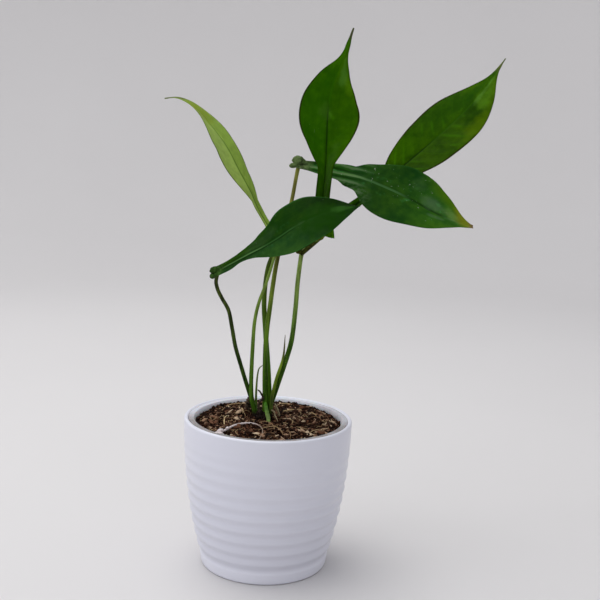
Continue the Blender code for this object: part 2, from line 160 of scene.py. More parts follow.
LEAVES = [
    Leaf(
        name="upright",
        midrib=[(37, 0, 271), (36, -4, 300), (37, -8, 322), (37, -10, 345), (37, -10, 366), (40, -8, 388),
                (45, -5, 402), (50, -1, 416), (54, 2, 430)],
        faces=((-0.13, -0.97, 0.22), (0.5, -0.85, -0.06)), strap=5.7, blade=20.5, neck=0.33, widest=0.59,
        taper=2.4, rise=(0.5, 0.35, 0.08), foot=(-1.6, 10.5, 116),
        stalk=[(-0.4, 10.8, 130), (-1.5, 11.5, 153), (-4.9, 14, 187), (-7.2, 15.5, 215), (-4.4, 16, 244),
               (2.5, 19, 259), (10, 19, 267), (17, 15, 269), (24, 9, 269), (30, 5, 267)],
        stalk_radii=(2.6, 1.5), slot="leaf_green",
        trims=((0, 0, 2.6), (0.05, 0, 1.9), (0.12, 0, -0.3), (0.3, 0, -0.2), (0.37, 1.2, 0.3),
               (0.45, -0.6, 0), (0.54, 0.7, 0.8), (0.6, 0.8, 0.3), (0.65, 0.8, -1.2), (0.72, -0.9, -0.8),
               (0.76, -1.8, -0.3), (0.8, -2.5, -0.8), (0.84, -2.8, -1.6), (0.88, -1.5, -1.4),
               (0.92, 0.7, 0.1), (0.97, 0.9, 0.5), (1, 0, 0)),
        ears=((3.5, 1.5, 1.2, 0.2), (1.3, 1.9, 0.6, 0.7)), joint=(-2.4, -2.4),
        colours=((0.031, 0.146, 0.0003), (0.028, 0.115, 0.0003)), shade=(0.45, 0.95), vein_light=0.04,
        rib_colours=((0.006, 0.028, 0.0005), (0.006, 0.028, 0.0005), (0.026, 0.12, 0.0003),
                     (0.045, 0.16, 0.004)),
        base_colour=(0.055, 0.175, 0.002), margin_light=-0.8, specks=0.15, tip_colour=(0.075, 0.085, 0.035),
        tip_share=0.925, stalk_colours=((0.045, 0.17, 0.001), (0.1, 0.14, 0.01)), wave=0.35,
        patches=((0.78, 0.5, 0.09, 0.35, 0.2, (0.14, 0.36, 0.06)),
                 (0.73, 0.75, 0.07, 0.25, 0.14, (0.2, 0.4, 0.01)),
                 (0.43, -0.65, 0.12, 0.45, 0.35, (0.01, 0.07, 0)),
                 (0.75, -0.25, 0.08, 0.3, 0.4, (0.01, 0.08, 0)),
                 (0.59, -0.1, 0.05, 0.3, 0.12, (0.14, 0.3, 0.05)),
                 (0.3, 0.5, 0.2, 0.45, 0.1, (0.12, 0.24, 0.06))),
        rib_dark=(0.2, 0.05),
        # the stalk's dark band high up is painted shade under the front leaf; its pale band low down a
        # painted highlight
        bands=((0.58, 0.25, 0.5, (0.012, 0.035, 0.001)), (0.14, 0.12, 0.4, (0.12, 0.26, 0.01))),
    ),
    Leaf(
        name="right",
        midrib=[(15, 14, 326), (30, 10, 323), (47, 3, 320), (66, -5, 317), (84, -11, 311), (103, -15, 303),
                (121, -17, 294), (139, -17, 287), (152, -16, 284)],
        faces=((-0.11, -0.88, 0.46), (-0.08, -0.62, 0.78)), strap=6.6, blade=24.0, neck=0.31, widest=0.63,
        taper=1.3, rise=(0.48, 0.0, 0.2), foot=(-2.2, 7.5, 116),
        stalk=[(-3, 7.6, 132), (-4, 8, 153), (-4.2, 8.5, 187), (-2.4, 10, 208), (2.1, 12, 248),
               (8.2, 14, 276), (12.2, 16, 298)],
        stalk_radii=(2.4, 1.5), slot="leaf_dark",
        trims=((0, -3.0, -1.2), (0.035, -4.0, -1.8), (0.08, -2.4, -2.0), (0.14, -1.2, -1.0),
               (0.2, 0.2, -0.2), (0.24, 1.4, -0.3), (0.265, 2.2, 1.5), (0.29, 2.4, 4.0), (0.32, 2.4, 4.2),
               (0.35, 1.3, 1.4), (0.375, 0.6, 1.0), (0.42, -1.2, 2.4), (0.5, -1.8, 2.8), (0.58, -0.6, 1.8),
               (0.72, 0.5, -0.8), (0.85, 3.0, -1.8), (0.93, 2.2, -0.9), (0.97, 1.7, 1.6), (1, 1.6, 2.4)),
        ears=((1.5, 0.8, 0.5, 0.0), (3.4, 0.0, 0.2, 0.5)), joint=(1.4, -2.6),
        colours=((0.0075, 0.05, 0.006), (0.009, 0.05, 0.005)), shade=(2.2, 1.8), vein_light=0.05,
        margin_yellow=(0.65, 0.15),
        rib_colours=((0.11, 0.22, 0.065), (0.045, 0.12, 0.035), (0.008, 0.035, 0.003), (0.05, 0.13, 0.03)),
        base_colour=(0.13, 0.19, 0.07), margin_light=0.1, specks=1.0, wear_and_fold_shade=0.62, rib_dark=(0.1, 0.1),
        pleats=0.4, tip_colour=(0.17, 0.11, 0.045), tip_yellow=0.8, tip_share=0.962,
        stalk_colours=((0.055, 0.18, 0.001), (0.25, 0.24, 0.05)), wave=0.35,
        patches=((0.77, -0.25, 0.1, 0.3, 0.17, (0.22, 0.33, 0.2)),
                 (0.8, 0.25, 0.06, 0.14, 0.12, (0.22, 0.33, 0.2)),
                 (0.88, -0.3, 0.06, 0.35, 0.2, (0.35, 0.55, 0.14)),
                 (0.65, -0.6, 0.05, 0.3, 0.06, (0.2, 0.33, 0.12))),
        rib_width=1.5,
        # the stalk's band high up is its own brown; its low dark band is painted shade
        bands=((0.66, 0.13, 0.6, (0.055, 0.05, 0.006)), (0.17, 0.17, 0.55, (0.012, 0.05, 0.0005))),
    ),
    Leaf(
        name="back",
        midrib=[(20, 16, 255), (40, 20, 273), (66, 25, 296), (83, 29, 311), (101, 32, 327), (126, 36, 350),
                (154, 39, 379), (170, 39, 401), (178, 38, 415)],
        faces=((-0.24, -0.87, 0.42), (-0.46, -0.71, 0.53)), strap=5.8, blade=24.0, neck=0.35, widest=0.68,
        taper=1.7, rise=(0.5, 0.29, -0.15), foot=(0.4, 9.5, 116),
        stalk=[(1.4, 9.8, 130), (3.6, 10, 137), (6.2, 9.8, 146), (12.6, 9, 168), (16.2, 9, 183),
               (18.4, 11, 209), (19.4, 13.5, 232)],
        stalk_radii=(2.3, 1.85), slot="leaf_green",
        trims=((0, 0, -1.3), (0.1, 0, -1.2), (0.17, 0, -1.7), (0.25, -1, -2.5), (0.33, -2.8, -2),
               (0.4, -1, 0.6), (0.46, 1.2, 1.5), (0.55, -0.4, 0.7), (0.63, -0.7, -0.6), (0.68, 0, -0.2),
               (0.75, 0.9, 0.9), (0.8, 0.5, 1.2), (0.87, -1.0, 0.8), (0.91, -2.1, -1.2), (0.95, -0.3, -2.0),
               (0.98, 1.2, 0.2), (1, 0.3, 0)),
        ears=((3.0, 1.0, 1.0, 0.2), (1.2, 0.4, 0.5, 0.3)), joint=(1.6, -2.6),
        colours=((0.0175, 0.071, 0.0001), (0.0145, 0.054, 0.0001)), shade=(1.3, 1.2), vein_light=0.46,
        margin_yellow=(0.05, 0.4),
        rib_colours=((0.006, 0.026, 0.0005), (0.006, 0.026, 0.0005), (0.018, 0.072, 0.0002),
                     (0.018, 0.072, 0.0002)),
        base_colour=(0.05, 0.055, 0.008), margin_light=-0.85, specks=0.1, tip_colour=(0.1, 0.125, 0.035),
        tip_share=0.935, stalk_colours=((0.035, 0.113, 0.0005), (0.28, 0.4, 0.1)), stalk_turn=0.4, wave=0.4,
        patches=((0.885, 0.38, 0.1, 0.62, 0.33, (0.14, 0.34, 0.015)),
                 (0.88, 0.1, 0.09, 0.17, 0.1, (0.16, 0.36, 0.09)),
                 (0.755, 0.8, 0.075, 0.36, 0.2, (0.17, 0.27, 0)),
                 (0.265, 0.1, 0.05, 1.0, 0.75, (0.003, 0.016, 0)),
                 (0.85, -0.4, 0.07, 0.28, 0.45, (0.006, 0.05, 0)),
                 (0.52, -0.7, 0.08, 0.6, 0.16, (0.12, 0.35, 0)),
                 (0.68, 0.3, 0.05, 0.3, 0.1, (0.006, 0.06, 0))),
    ),
    Leaf(
        name="front",
        midrib=[(-47, -8, 238.3), (-33, -16, 247.3), (-20, -22, 255.6), (-8, -27, 263), (2, -31, 270),
                (14, -34, 279), (27, -36, 287), (45, -34, 294), (64, -29, 297)],
        faces=((0.05, -0.81, 0.58), (0.04, -0.62, 0.79)), strap=4.4, blade=21.0, neck=0.25, widest=0.66,
        taper=1.3, rise=(0.35, 0.1, -0.1), foot=(-11, 12, 116),
        stalk=[(-12.2, 12, 124.5), (-14.6, 11.8, 132), (-17, 11, 139.5), (-20.3, 10, 149.5),
               (-24.7, 7, 164), (-28.7, 4, 178), (-31.7, 3, 193), (-35.1, 2, 208), (-40.5, 1, 217.5),
               (-43.9, 0, 224.5), (-45.2, -1.5, 230.5)],
        stalk_radii=(1.85, 1.55), slot="leaf_dark",
        trims=((0, -1.1, -0.5), (0.06, -0.9, 0.6), (0.11, -0.7, 1.2), (0.15, -0.3, 0.9), (0.19, 0.1, -1.2),
               (0.23, 1.1, -1.1), (0.27, 2.0, -0.2), (0.36, 2.0, -0.5), (0.45, 0.4, -0.6), (0.52, 0, 0),
               (0.65, 0.6, -0.5), (0.74, 0.2, -0.8), (0.8, -0.2, -0.1), (0.85, -0.4, 0.5),
               (0.92, -0.3, 0.9), (1, 0, 0)),
        ears=((1.6, 0.6, 0.5, 0.3), (1.8, 0.6, 0.5, 0.2)), joint=(1.8, -2.8),
        colours=((0.0095, 0.052, 0.003), (0.0125, 0.06, 0.012)), shade=(0.9, 0.56), vein_light=0.03,
        rib_colours=((0.085, 0.19, 0.055), (0.026, 0.09, 0.018), (0.007, 0.037, 0.003),
                     (0.007, 0.037, 0.003)),
        base_colour=(0.045, 0.105, 0.02), margin_light=0.35, specks=0.35, strap_dark=0.1,
        rib_dark=(0.35, 0.75), tip_colour=(0.008, 0.028, 0.004), tip_share=0.945,
        stalk_colours=((0.009, 0.05, 0.001), (0.028, 0.038, 0.006)), wave=0.3, pleats=0.2,
        patches=((0.8, 0.2, 0.24, 0.95, 0.95, (0.0075, 0.044, 0.0008)),
                 (0.9, -0.02, 0.085, 0.4, 0.16, (0.1, 0.3, 0.05)),
                 (0.64, 0.0, 0.035, 0.07, 0.06, (0.2, 0.34, 0.15)),
                 (0.36, -0.45, 0.16, 0.5, 0.04, (0.2, 0.24, 0.2))),
    ),
    Leaf(
        name="young",
        midrib=[(2.2, 6, 263), (-14, 9, 288), (-21, 11, 302), (-31, 13, 319), (-41, 16, 336),
                (-54, 19, 352), (-66, 21, 364.4), (-77, 22, 371.2), (-84, 22, 373), (-92, 22, 372.2)],
        faces=((0.48, -0.58, 0.66), (0.59, -0.04, 0.81)), strap=3.2, blade=16.8, neck=0.25, widest=0.59,
        taper=1.3, rise=(0.42, 0.0, 0.13), foot=(-10.4, 9, 116),
        stalk=[(-12.2, 9, 126.5), (-14.2, 9, 133.5), (-15.1, 9, 143), (-15.3, 9, 153), (-14.9, 8.5, 178),
               (-13.9, 7, 199), (-11.1, 5, 214), (-6.2, 4, 229), (-3.0, 4.4, 240), (-0.5, 5, 250)],
        stalk_radii=(2.05, 1.05), slot="leaf_pale",
        trims=((0, 0, 0), (0.15, -0.3, 0.6), (0.2, 0.2, 1.4), (0.25, 0.2, 1.4), (0.29, 0, -0.2),
               (0.34, 0.5, -1.3), (0.42, 2.2, -2.2), (0.52, 4.6, -3.2), (0.6, 3.0, -1.4), (0.68, -0.8, 1.4),
               (0.76, -1.9, 4.2), (0.84, -0.6, 3.0), (0.92, 0, 0.2), (1, 0, 0)),
        ears=((3.5, 1.5, 1.2, 0.0), (3.5, 1.5, 1.2, 0.0)), joint=(-2.0, -2.2),
        colours=((0.37, 0.53, 0.11), (0.275, 0.425, 0.065)), shade=(0.9, 0.88), vein_light=0.04,
        rib_dark=(0.0, 0.12),
        rib_colours=((0.045, 0.13, 0.006), (0.055, 0.15, 0.009), (0.075, 0.17, 0.015), (0.1, 0.2, 0.03)),
        base_colour=(0.14, 0.28, 0.02), margin_light=-0.8, specks=0.1, tip_colour=(0.13, 0.165, 0.045),
        tip_share=0.885, stalk_colours=((0.055, 0.16, 0.005), (0.2, 0.3, 0.055)), wave=0.4,
        patches=((0.83, 0.0, 0.15, 1.6, 0.75, (0.2, 0.27, 0.012)),),
        # the stalk's band by the leaf is painted shade under the front leaf
        bands=((0.95, 0.16, 0.75, (0.13, 0.21, 0.045)),),
    ),
]


# Mesh helpers -------------------------------------------------------------------------------------


def unit(v):
    return v / np.linalg.norm(v, axis=-1, keepdims=True)


def travelled(points, power=1.0):
    """How far each point is along its path, where each step counts to a power of its length."""
    steps = np.linalg.norm(np.diff(points[:, :3], axis=0), axis=1) ** power
    return np.concatenate([[0], np.cumsum(steps)])


def smooth_path(points, count):
    """Evenly spaced points on a smooth curve through the given ones (centripetal Catmull-Rom)."""
    p = np.array(points, float)
    p = np.vstack([2 * p[0] - p[1], p, 2 * p[-1] - p[-2]])
    knots = travelled(p, 0.5)
    dense = []
    for i in range(1, len(p) - 2):
        level, span = list(p[i - 1:i + 3]), knots[i - 1:i + 3]
        t = np.linspace(span[1], span[2], 30, endpoint=False)[:, None]
        for ends in ([(0, 1), (1, 2), (2, 3)], [(0, 2), (1, 3)], [(1, 2)]):
            level = [((span[end] - t) * a + (t - span[start]) * b) / (span[end] - span[start])
                     for (start, end), a, b in zip(ends, level, level[1:])]
        dense.append(level[0])
    dense = np.vstack([*dense, p[-2][None]])
    along = travelled(dense)
    places = np.linspace(0, along[-1], count)
    return np.stack([np.interp(places, along, dense[:, i]) for i in range(dense.shape[1])], 1)


def turns(count):
    """Angles evenly spaced round a full turn."""
    return np.linspace(0, 2 * np.pi, count, endpoint=False)


def grid_faces(rows, columns, closed=False):
    """Quads of a grid whose points run row by row. A closed one joins its last column to its first."""
    row = np.arange(rows - 1)[:, None] * columns
    column = np.arange(columns if closed else columns - 1)[None, :]
    after = (column + 1) % columns
    quads = np.stack([row + column, row + after, row + columns + after, row + columns + column], -1)
    return [tuple(quad) for quad in quads.reshape(-1, 4)]


def closed_skin(rings, first, last, inward=False):
    """Points and faces of rings that are joined one to the next, with a point to close each end."""
    count, sides = rings.shape[:2]
    end = count * sides
    faces = grid_faces(count, sides, closed=True)
    for i in range(sides):
        j = (i + 1) % sides
        faces += [(end, j, i), (end + 1, end - sides + i, end - sides + j)]
    points = np.vstack([rings.reshape(-1, 3), [first], [last]])
    return points, [face[::-1] for face in faces] if inward else faces


def placed(name, data):
    """A new object in the scene."""
    obj = bpy.data.objects.new(name, data)
    bpy.context.scene.collection.objects.link(obj)
    return obj


def add_piece(name, points, faces, finish, replaces=(), attributes=None):
    """A mesh in the frame's place, which rides on the root body."""
    mesh = bpy.data.meshes.new(name)
    mesh.from_pydata((np.asarray(points) * MM).tolist(), [], [list(face) for face in faces])
    for key, values in (attributes or {}).items():
        layer = mesh.attributes.new(key, "FLOAT", "POINT")
        layer.data.foreach_set("value", np.asarray(values, np.float32).ravel())
    mesh.shade_smooth()
    mesh.materials.append(finish)
    obj = placed(name, mesh)
    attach(obj, "root")
    if replaces:
        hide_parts(*replaces)
    return obj


def joined(name, parts, tints, finish, replaces=()):
    """Many small meshes as one piece. parts holds (points, faces) pairs."""
    points, faces, values, start = [], [], [], 0
    for (part_points, part_faces), tint in zip(parts, tints):
        points.append(part_points)
        faces.extend([start + i for i in face] for face in part_faces)
        values.append(np.full(len(part_points), tint))
        start += len(part_points)
    return add_piece(name, np.vstack(points), faces, finish, replaces, {"tint": np.concatenate(values)})


def face_out(obj):
    """Turns a closed mesh's faces outwards."""
    work = bmesh.new()
    work.from_mesh(obj.data)
    bmesh.ops.recalc_face_normals(work, faces=work.faces)
    work.to_mesh(obj.data)
    work.free()


def across_path(path):
    """Two directions across a path, at each of its points, that don't twist."""
    along = unit(np.gradient(path, axis=0))
    first = np.cross(along[0], (0, 1, 0) if abs(along[0][1]) < 0.9 else (1, 0, 0))
    across = [first / np.linalg.norm(first)]
    for direction in along[1:]:
        kept = across[-1] - (across[-1] @ direction) * direction
        across.append(kept / np.linalg.norm(kept))
    return np.array(across), np.cross(along, np.array(across))


def tube_mesh(path, radii, sides):
    """Points and faces of a closed rod. radii is one number a ring, or one for each side of each ring."""
    across, beside = across_path(path)
    radii = np.asarray(radii, float).reshape(len(path), -1)
    rings = (path[:, None] + (radii * np.cos(turns(sides)))[..., None] * across[:, None]
             + (radii * np.sin(turns(sides)))[..., None] * beside[:, None])
    return closed_skin(rings, path[0], path[-1])


def add_tube(name, path, radii, sides, finish, replaces):
    """A rod whose points know their share of its length."""
    points, faces = tube_mesh(path, radii, sides)
    share = np.repeat(np.linspace(0, 1, len(path)), sides)
    add_piece(name, points, faces, finish, replaces, {"share": [*share, 0, 1]})


def lathe_mesh(profile, segments):
    """Points and faces of a profile turned about Z. Its ends are on the axis."""
    profile = np.array(profile, float)
    inner, angles = profile[1:-1], turns(segments)
    rings = np.stack([inner[:, :1] * np.cos(angles), inner[:, :1] * np.sin(angles),
                      np.repeat(inner[:, 1:], segments, 1)], -1)
    return closed_skin(rings, (0, 0, profile[0][1]), (0, 0, profile[-1][1]), inward=True)


# Materials ----------------------------------------------------------------------------------------


class Finish:
    """A Principled material and short ways to add nodes to it."""

    def __init__(self, name, **sockets):
        self.material = bpy.data.materials.new(name)
        self.material.use_nodes = True
        self.tree = self.material.node_tree
        self.shader = self.tree.nodes["Principled BSDF"]
        self.place = self.node("TexCoord").outputs["Object"]
        self.skin = None
        for key, value in sockets.items():
            self.shader.inputs[key.replace("_", " ")].default_value = value

    def put(self, socket, value):
        if isinstance(value, bpy.types.NodeSocket):
            self.tree.links.new(value, socket)
        elif socket.type == "RGBA" and len(value) == 3:
            socket.default_value = (*value, 1)
        else:
            socket.default_value = value

    def node(self, kind, **sockets):
        """A new node with these of its inputs filled in."""
        node = self.tree.nodes.new("ShaderNode" + kind)
        for key, value in sockets.items():
            self.put(node.inputs[key], value)
        return node

    def math(self, operation, *values):
        node = self.node("Math")
        node.operation = operation
        for socket, value in zip(node.inputs, values):
            self.put(socket, value)
        return node.outputs[0]

    def times(self, *values):
        return reduce(lambda a, b: self.math("MULTIPLY", a, b), values)

    def plus(self, *values):
        return reduce(lambda a, b: self.math("ADD", a, b), values)

    def minus(self, a, b):
        return self.math("SUBTRACT", a, b)

    def mix(self, share, a, b, blend="MIX"):
        node = self.node("Mix")
        node.data_type = "RGBA"
        node.blend_type = blend
        for index, value in ((0, share), (6, a), (7, b)):
            self.put(node.inputs[index], value)
        return node.outputs[2]

    def lay(self, colour, *amounts):
        """Lays a colour over the skin, as strongly as the product of the amounts."""
        self.skin = self.mix(self.times(*amounts), self.skin, colour)

    def mottle(self, pattern, darker, lighter, tint):
        """Darkens the skin where a pattern is low and tints it where the pattern is high."""
        self.skin = self.mix(pattern, self.mix(darker, self.skin, BLACK), self.mix(lighter, self.skin, tint))

    def noise(self, scale, detail=3.0, stretch=None, roughness=0.5, place=None):
        place = self.place if place is None else place
        if stretch:
            place = self.node("Mapping", Vector=place, Scale=stretch).outputs[0]
        return self.node("TexNoise", Vector=place, Scale=scale, Detail=detail, Roughness=roughness).outputs[0]

    def sway(self, scale, detail, size):
        """Noise about zero, so large from end to end."""
        return self.times(self.minus(self.noise(scale, detail), 0.5), size)

    def streaks(self, along, across, along_scale, across_scale):
        """Noise drawn out along a leaf."""
        place = self.node("CombineXYZ", X=self.times(along, along_scale), Y=self.times(across, across_scale))
        return self.noise(1.0, 4.0, roughness=0.6, place=place.outputs[0])

    def reach(self, axis):
        """How far a point is along X, Y or Z, in millimetres."""
        return self.math("DIVIDE", self.node("SeparateXYZ", Vector=self.place).outputs[axis], MM)

    def attribute(self, name):
        node = self.node("Attribute")
        node.attribute_name = name
        return node.outputs["Fac"]

    def span(self, value, low, high, to_low=0.0, to_high=1.0):
        """value from low..high to to_low..to_high, smoothly, held at both ends."""
        node = self.node("MapRange")
        node.interpolation_type = "SMOOTHSTEP"
        for socket, number in zip(node.inputs[:5], (value, low, high, to_low, to_high)):
            self.put(socket, number)
        return node.outputs[0]

    def ramp(self, value, stops):
        node = self.node("ValToRGB", Fac=value)
        elements = node.color_ramp.elements
        while len(elements) < len(stops):
            elements.new(1.0)
        for element, (place, colour) in zip(elements, stops):
            element.position = place
            element.color = (*colour, 1)
        return node.outputs[0]

    def made(self, colour, rough, height=None, distance=0.0, strength=0.0):
        """The material, with its colour, its roughness and bumps so many millimetres high."""
        values = {"Base Color": colour, "Roughness": rough}
        if height is not None:
            bump = self.node("Bump", Height=height, Distance=distance * MM, Strength=strength)
            values["Normal"] = bump.outputs[0]
        for key, value in values.items():
            self.put(self.shader.inputs[key], value)
        return self.material


def pot_finish():
    """White satin plastic, with painted shade low down outside, and painted light at the foot and inside."""
    f = Finish("pot_plastic_satin", Specular_IOR_Level=0.5, Coat_Weight=0.15, Coat_Roughness=0.2)
    cloud = f.noise(14, 2)
    height = f.reach("Z")
    low = f.mix(cloud, (0.66, 0.67, 0.76), (0.71, 0.715, 0.8))
    high = f.mix(cloud, (0.715, 0.725, 0.82), (0.77, 0.78, 0.86))
    # painted shade: the outside darkens from the top down
    f.skin = f.mix(f.span(height, 10, 120), low, high)
    # painted light: a paler band at the foot
    f.lay((0.79, 0.8, 0.89), f.span(height, 13, 9))
    # painted light: the inside and the lip's inner edge are paler
    f.lay((0.88, 0.89, 0.95), f.attribute("inside"))
    grain = f.plus(f.noise(2600, 2), f.times(f.noise(160, 2), 1.5))
    return f.made(f.skin, f.span(f.noise(90, 4), 0.3, 0.7, 0.3, 0.4), grain, 0.05, 0.35)


def nursery_finish():
    """Grey plastic, darker low down, in front and to the right: mix dust, and in front painted shade."""
    f = Finish("nursery_plastic_matt", Subsurface_Weight=0.15, Subsurface_Scale=0.004)
    low = f.span(f.reach("Z"), NURSERY_TOP - 0.6, NURSERY_TOP - 3.6)
    # in front the darkening is partly dust and partly painted shade under the outer pot's lip
    front = f.math("MAXIMUM", f.span(f.reach("Y"), 16, -24), f.span(f.reach("X"), 30, 58, 0, 0.4))
    dust_and_painted_shade = f.plus(f.times(low, 0.3), f.times(front, 0.85))
    f.skin = f.mix(f.noise(60, 4), (0.58, 0.59, 0.65), (0.68, 0.69, 0.75))
    f.lay((0.21, 0.185, 0.17), dust_and_painted_shade, f.span(f.noise(130, 4), 0.25, 0.55, 0.6, 1))
    f.lay((0.05, 0.03, 0.02), f.span(f.noise(750, 4, roughness=0.7), 0.55, 0.62), f.plus(dust_and_painted_shade, 0.1), 0.7)
    return f.made(f.skin, f.span(f.noise(200, 3), 0.3, 0.7, 0.4, 0.55), f.noise(1500, 2), 0.06, 0.4)


def soil_finish():
    f = Finish("potting_mix_ground", Specular_IOR_Level=0.05)
    tone = f.plus(f.times(f.noise(420, 5, roughness=0.7), 0.7), f.times(f.noise(90, 3), 0.3))
    colour = f.ramp(tone, [(0.38, (0.006, 0.002, 0.0007)), (0.52, (0.03, 0.0095, 0.0035)),
                           (0.62, (0.065, 0.025, 0.011)), (0.74, (0.13, 0.06, 0.03))])
    return f.made(colour, 0.95, f.noise(900, 5, roughness=0.7), 0.8, 0.9)


def bits_finish(name, stops, roughness):
    """For joined small pieces, each of which has its own tint from 0 to 1."""
    f = Finish(name, Specular_IOR_Level=0.08)
    grain = f.noise(700, 4, roughness=0.65)
    tint = f.plus(f.attribute("tint"), f.times(f.minus(grain, 0.5), 0.35))
    return f.made(f.ramp(tint, stops), roughness, grain, 0.3, 0.8)


class LeafSkin(Finish):
    """A blade's finish, laid on coat by coat. It reads the facts that blade_surface gives its points."""

    def __init__(self, leaf):
        super().__init__(f"leaf_{leaf.name}_skin", Specular_IOR_Level=0.012)
        left, right = leaf.colours
        self.leaf = leaf
        self.lift = 1 / (1 + max(left[1], right[1]))
        self.paler = [2.3 * self.lift * max(a, b) + c for a, b, c in zip(left, right, (0.006, 0.01, 0.0003))]
        self.share, self.side, self.from_rib, self.along, self.across, self.under, phase = map(
            self.attribute, ("share", "side", "from_rib", "along", "across", "under", "vein"))
        self.out = self.math("ABSOLUTE", self.side)
        self.wave = self.math("COSINE", self.times(phase, 2 * math.pi))
        self.fine_wave = self.math("COSINE", self.times(phase, 14 * math.pi))
        self.vein = self.span(self.wave, 0.9, 1.0)
        self.clear = self.times(self.span(self.out, 0.03, 0.15), self.span(self.out, 1.0, 0.7))
        self.cloud = self.plus(self.times(self.noise(30, 3), 0.7), self.times(self.noise(210, 4), 0.3))
        self.ragged_share = self.plus(self.share, self.sway(160, 2, 0.04))

    def dimmed(self, amount):
        return [amount * min(a, b) for a, b in zip(*self.leaf.colours)]

    def lay_green(self):
        """Each half's green, cloudy, with streaks of dew and painted sheen, and streaks along the strap."""
        specks = self.leaf.specks
        # painted bluish sheen, laid with the dew streaks on the speckled leaves
        painted_bluish_sheen = (0, 0.01, 0.02) if specks > 0.3 else BLACK
        streak = self.streaks(self.along, self.across, 0.03, 0.75)
        self.skin = self.mix(self.span(self.side, -0.25, 0.25), *self.leaf.colours)
        self.mottle(self.span(self.cloud, 0.36, 0.66), 0.3, 0.04, (0.35, 0.6, 0))
        self.lay([1.2 * c + d for c, d in zip(self.paler, painted_bluish_sheen)],
                 self.span(self.streaks(self.along, self.side, 0.09, 2.4), 0.56, 0.72),
                 self.span(self.out, 0.6, 0.1, 0, 0.2 + 0.5 * specks))
        self.lay(self.paler, self.span(streak, 0.5, 0.75), self.span(self.share, 0.42, 0.2, 0.06, 0.45))
        self.lay(self.dimmed(0.35), self.span(streak, 0.5, 0.3), self.span(self.share, 0.42, 0.2, 0.1, 0.5))

    def shade(self):
        """Strap and tip brighter or darker than the middle: own tone and painted light and shade."""
        strap, tip = self.leaf.shade
        in_strap = self.span(self.share, 0.46, 0.22, 0, strap - 1)
        bright = self.plus(in_strap, self.span(self.share, 0.5, 0.85, 1, tip))
        dark_half = self.span(self.side, 0.1, 0.4, 0, self.leaf.strap_dark)
        kept = self.minus(1, self.times(self.span(self.share, 0.42, 0.3), dark_half))
        self.skin = self.mix(1.0, self.skin, self.times(bright, kept), "MULTIPLY")

    def lay_veins(self):
        """Side veins, each a soft ridge with a fine line on it, clearest towards the base."""
        light = self.leaf.vein_light
        some = self.span(self.noise(38, 3), 0.5, 0.64, 0, 0.5)
        some = self.math("MAXIMUM", some, self.span(self.share, 0.56, 0.46))
        self.lay(self.paler, self.span(self.wave, 0.2, 1.0), self.clear, light, some)
        self.lay(self.paler, self.vein, self.clear, 0.6 * light, self.span(some, 0, 1, 0.25, 1))

    def lay_midrib(self):
        """The midrib's line, and what lies beside it."""
        width, dark = self.leaf.rib_width, self.leaf.rib_dark
        if any(dark):
            self.lay(self.dimmed(0.3), self.span(self.from_rib, 2.3, 1.5), self.span(self.share, 0.66, 0.54),
                     self.span(self.side, -0.02, 0.02, *dark))
        else:
            self.lay(self.paler, self.span(self.from_rib, 3.2, 0.9), self.span(self.share, 0.6, 0.2, 0, 0.3))
        colour, *later = self.leaf.rib_colours
        for (start, end), following in zip(RIB_CHANGES, later):
            colour = self.mix(self.span(self.share, start, end), colour, following)
        line = self.span(self.from_rib, width, 0.37 * width)
        self.lay(colour, line, self.span(self.share, 0.98, 0.9, 0.3, 1), 0.85)

    def lay_margin(self):
        light = self.leaf.margin_light
        self.lay(self.paler if light > 0 else DARK_MARGIN, self.span(self.out, 0.93, 0.965), abs(light))

    def lay_specks(self):
        """Swarms of pale dots and short dashes."""
        dots = self.span(self.noise(620, 2), 0.715, 0.745)
        dashes = self.span(self.noise(470, 1, stretch=(1, 0.6, 0.3)), 0.77, 0.79)
        swarm = self.span(self.noise(60, 2), 0.45, 0.55)
        self.lay((0.3, 0.36, 0.27), self.math("MAXIMUM", dots, dashes), swarm, 0.8 * self.leaf.specks)

    def lay_wear_and_fold_shade(self):
        """A scuffed neck; painted shade in the strap's fold troughs, painted highlights on their crests."""
        wear_and_fold_shade = self.leaf.wear_and_fold_shade
        in_strap = self.span(self.share, 0.44, 0.3, 0, wear_and_fold_shade)
        fold = self.math("COSINE", self.plus(self.times(self.across, PLEAT), self.sway(110, 2, 3.0)))
        self.lay((0.085, 0.135, 0.065), self.span(self.share, 0.2, 0.3), self.span(self.share, 0.5, 0.36),
                 self.span(self.noise(330, 4, stretch=(1, 1, 2)), 0.4, 0.58),
                 self.span(self.side, 0.35, 0.7, 0.1 * wear_and_fold_shade, wear_and_fold_shade))
        # painted shade in the folds' troughs; the next coat is painted highlights on their crests
        self.lay((0.005, 0.03, 0.001), self.span(fold, -0.1, -0.9, 0, 1.3), in_strap)
        self.lay((0.11, 0.19, 0.08), self.span(fold, 0.4, 1), in_strap)

    def lay_patches(self):
        """Soft patches with ragged edges: the pale ones are painted sheen, the dark ones darken the green."""
        for place, off, along, across, amount, colour in self.leaf.patches:
            run = self.math("DIVIDE", self.minus(self.share, place), along)
            beside = self.math("DIVIDE", self.minus(self.side, off), across)
            far = self.plus(self.times(run, run), self.times(beside, beside), self.sway(150, 3, 1.6))
            self.lay(colour, self.span(far, 1, 0, 0, amount))

    def lay_tip(self):
        """Yellow margins towards the tip, then its yellow and its dry end."""
        leaf, run, end = self.leaf, self.ragged_share, self.leaf.tip_share
        self.lay((0.07, 0.15, 0.001), self.span(self.plus(run, self.times(self.out, 0.12)), 0.72, 0.95),
                 self.span(self.out, 0.45, 0.85), self.span(self.side, -0.1, 0.1, *leaf.margin_yellow))
        slanted = self.plus(run, self.times(self.side, -0.04))
        self.lay((0.18, 0.2, 0.01), self.span(slanted, end - 0.075, end, 0, leaf.tip_yellow))
        self.lay(leaf.tip_colour, self.span(run, end, end + 0.035))

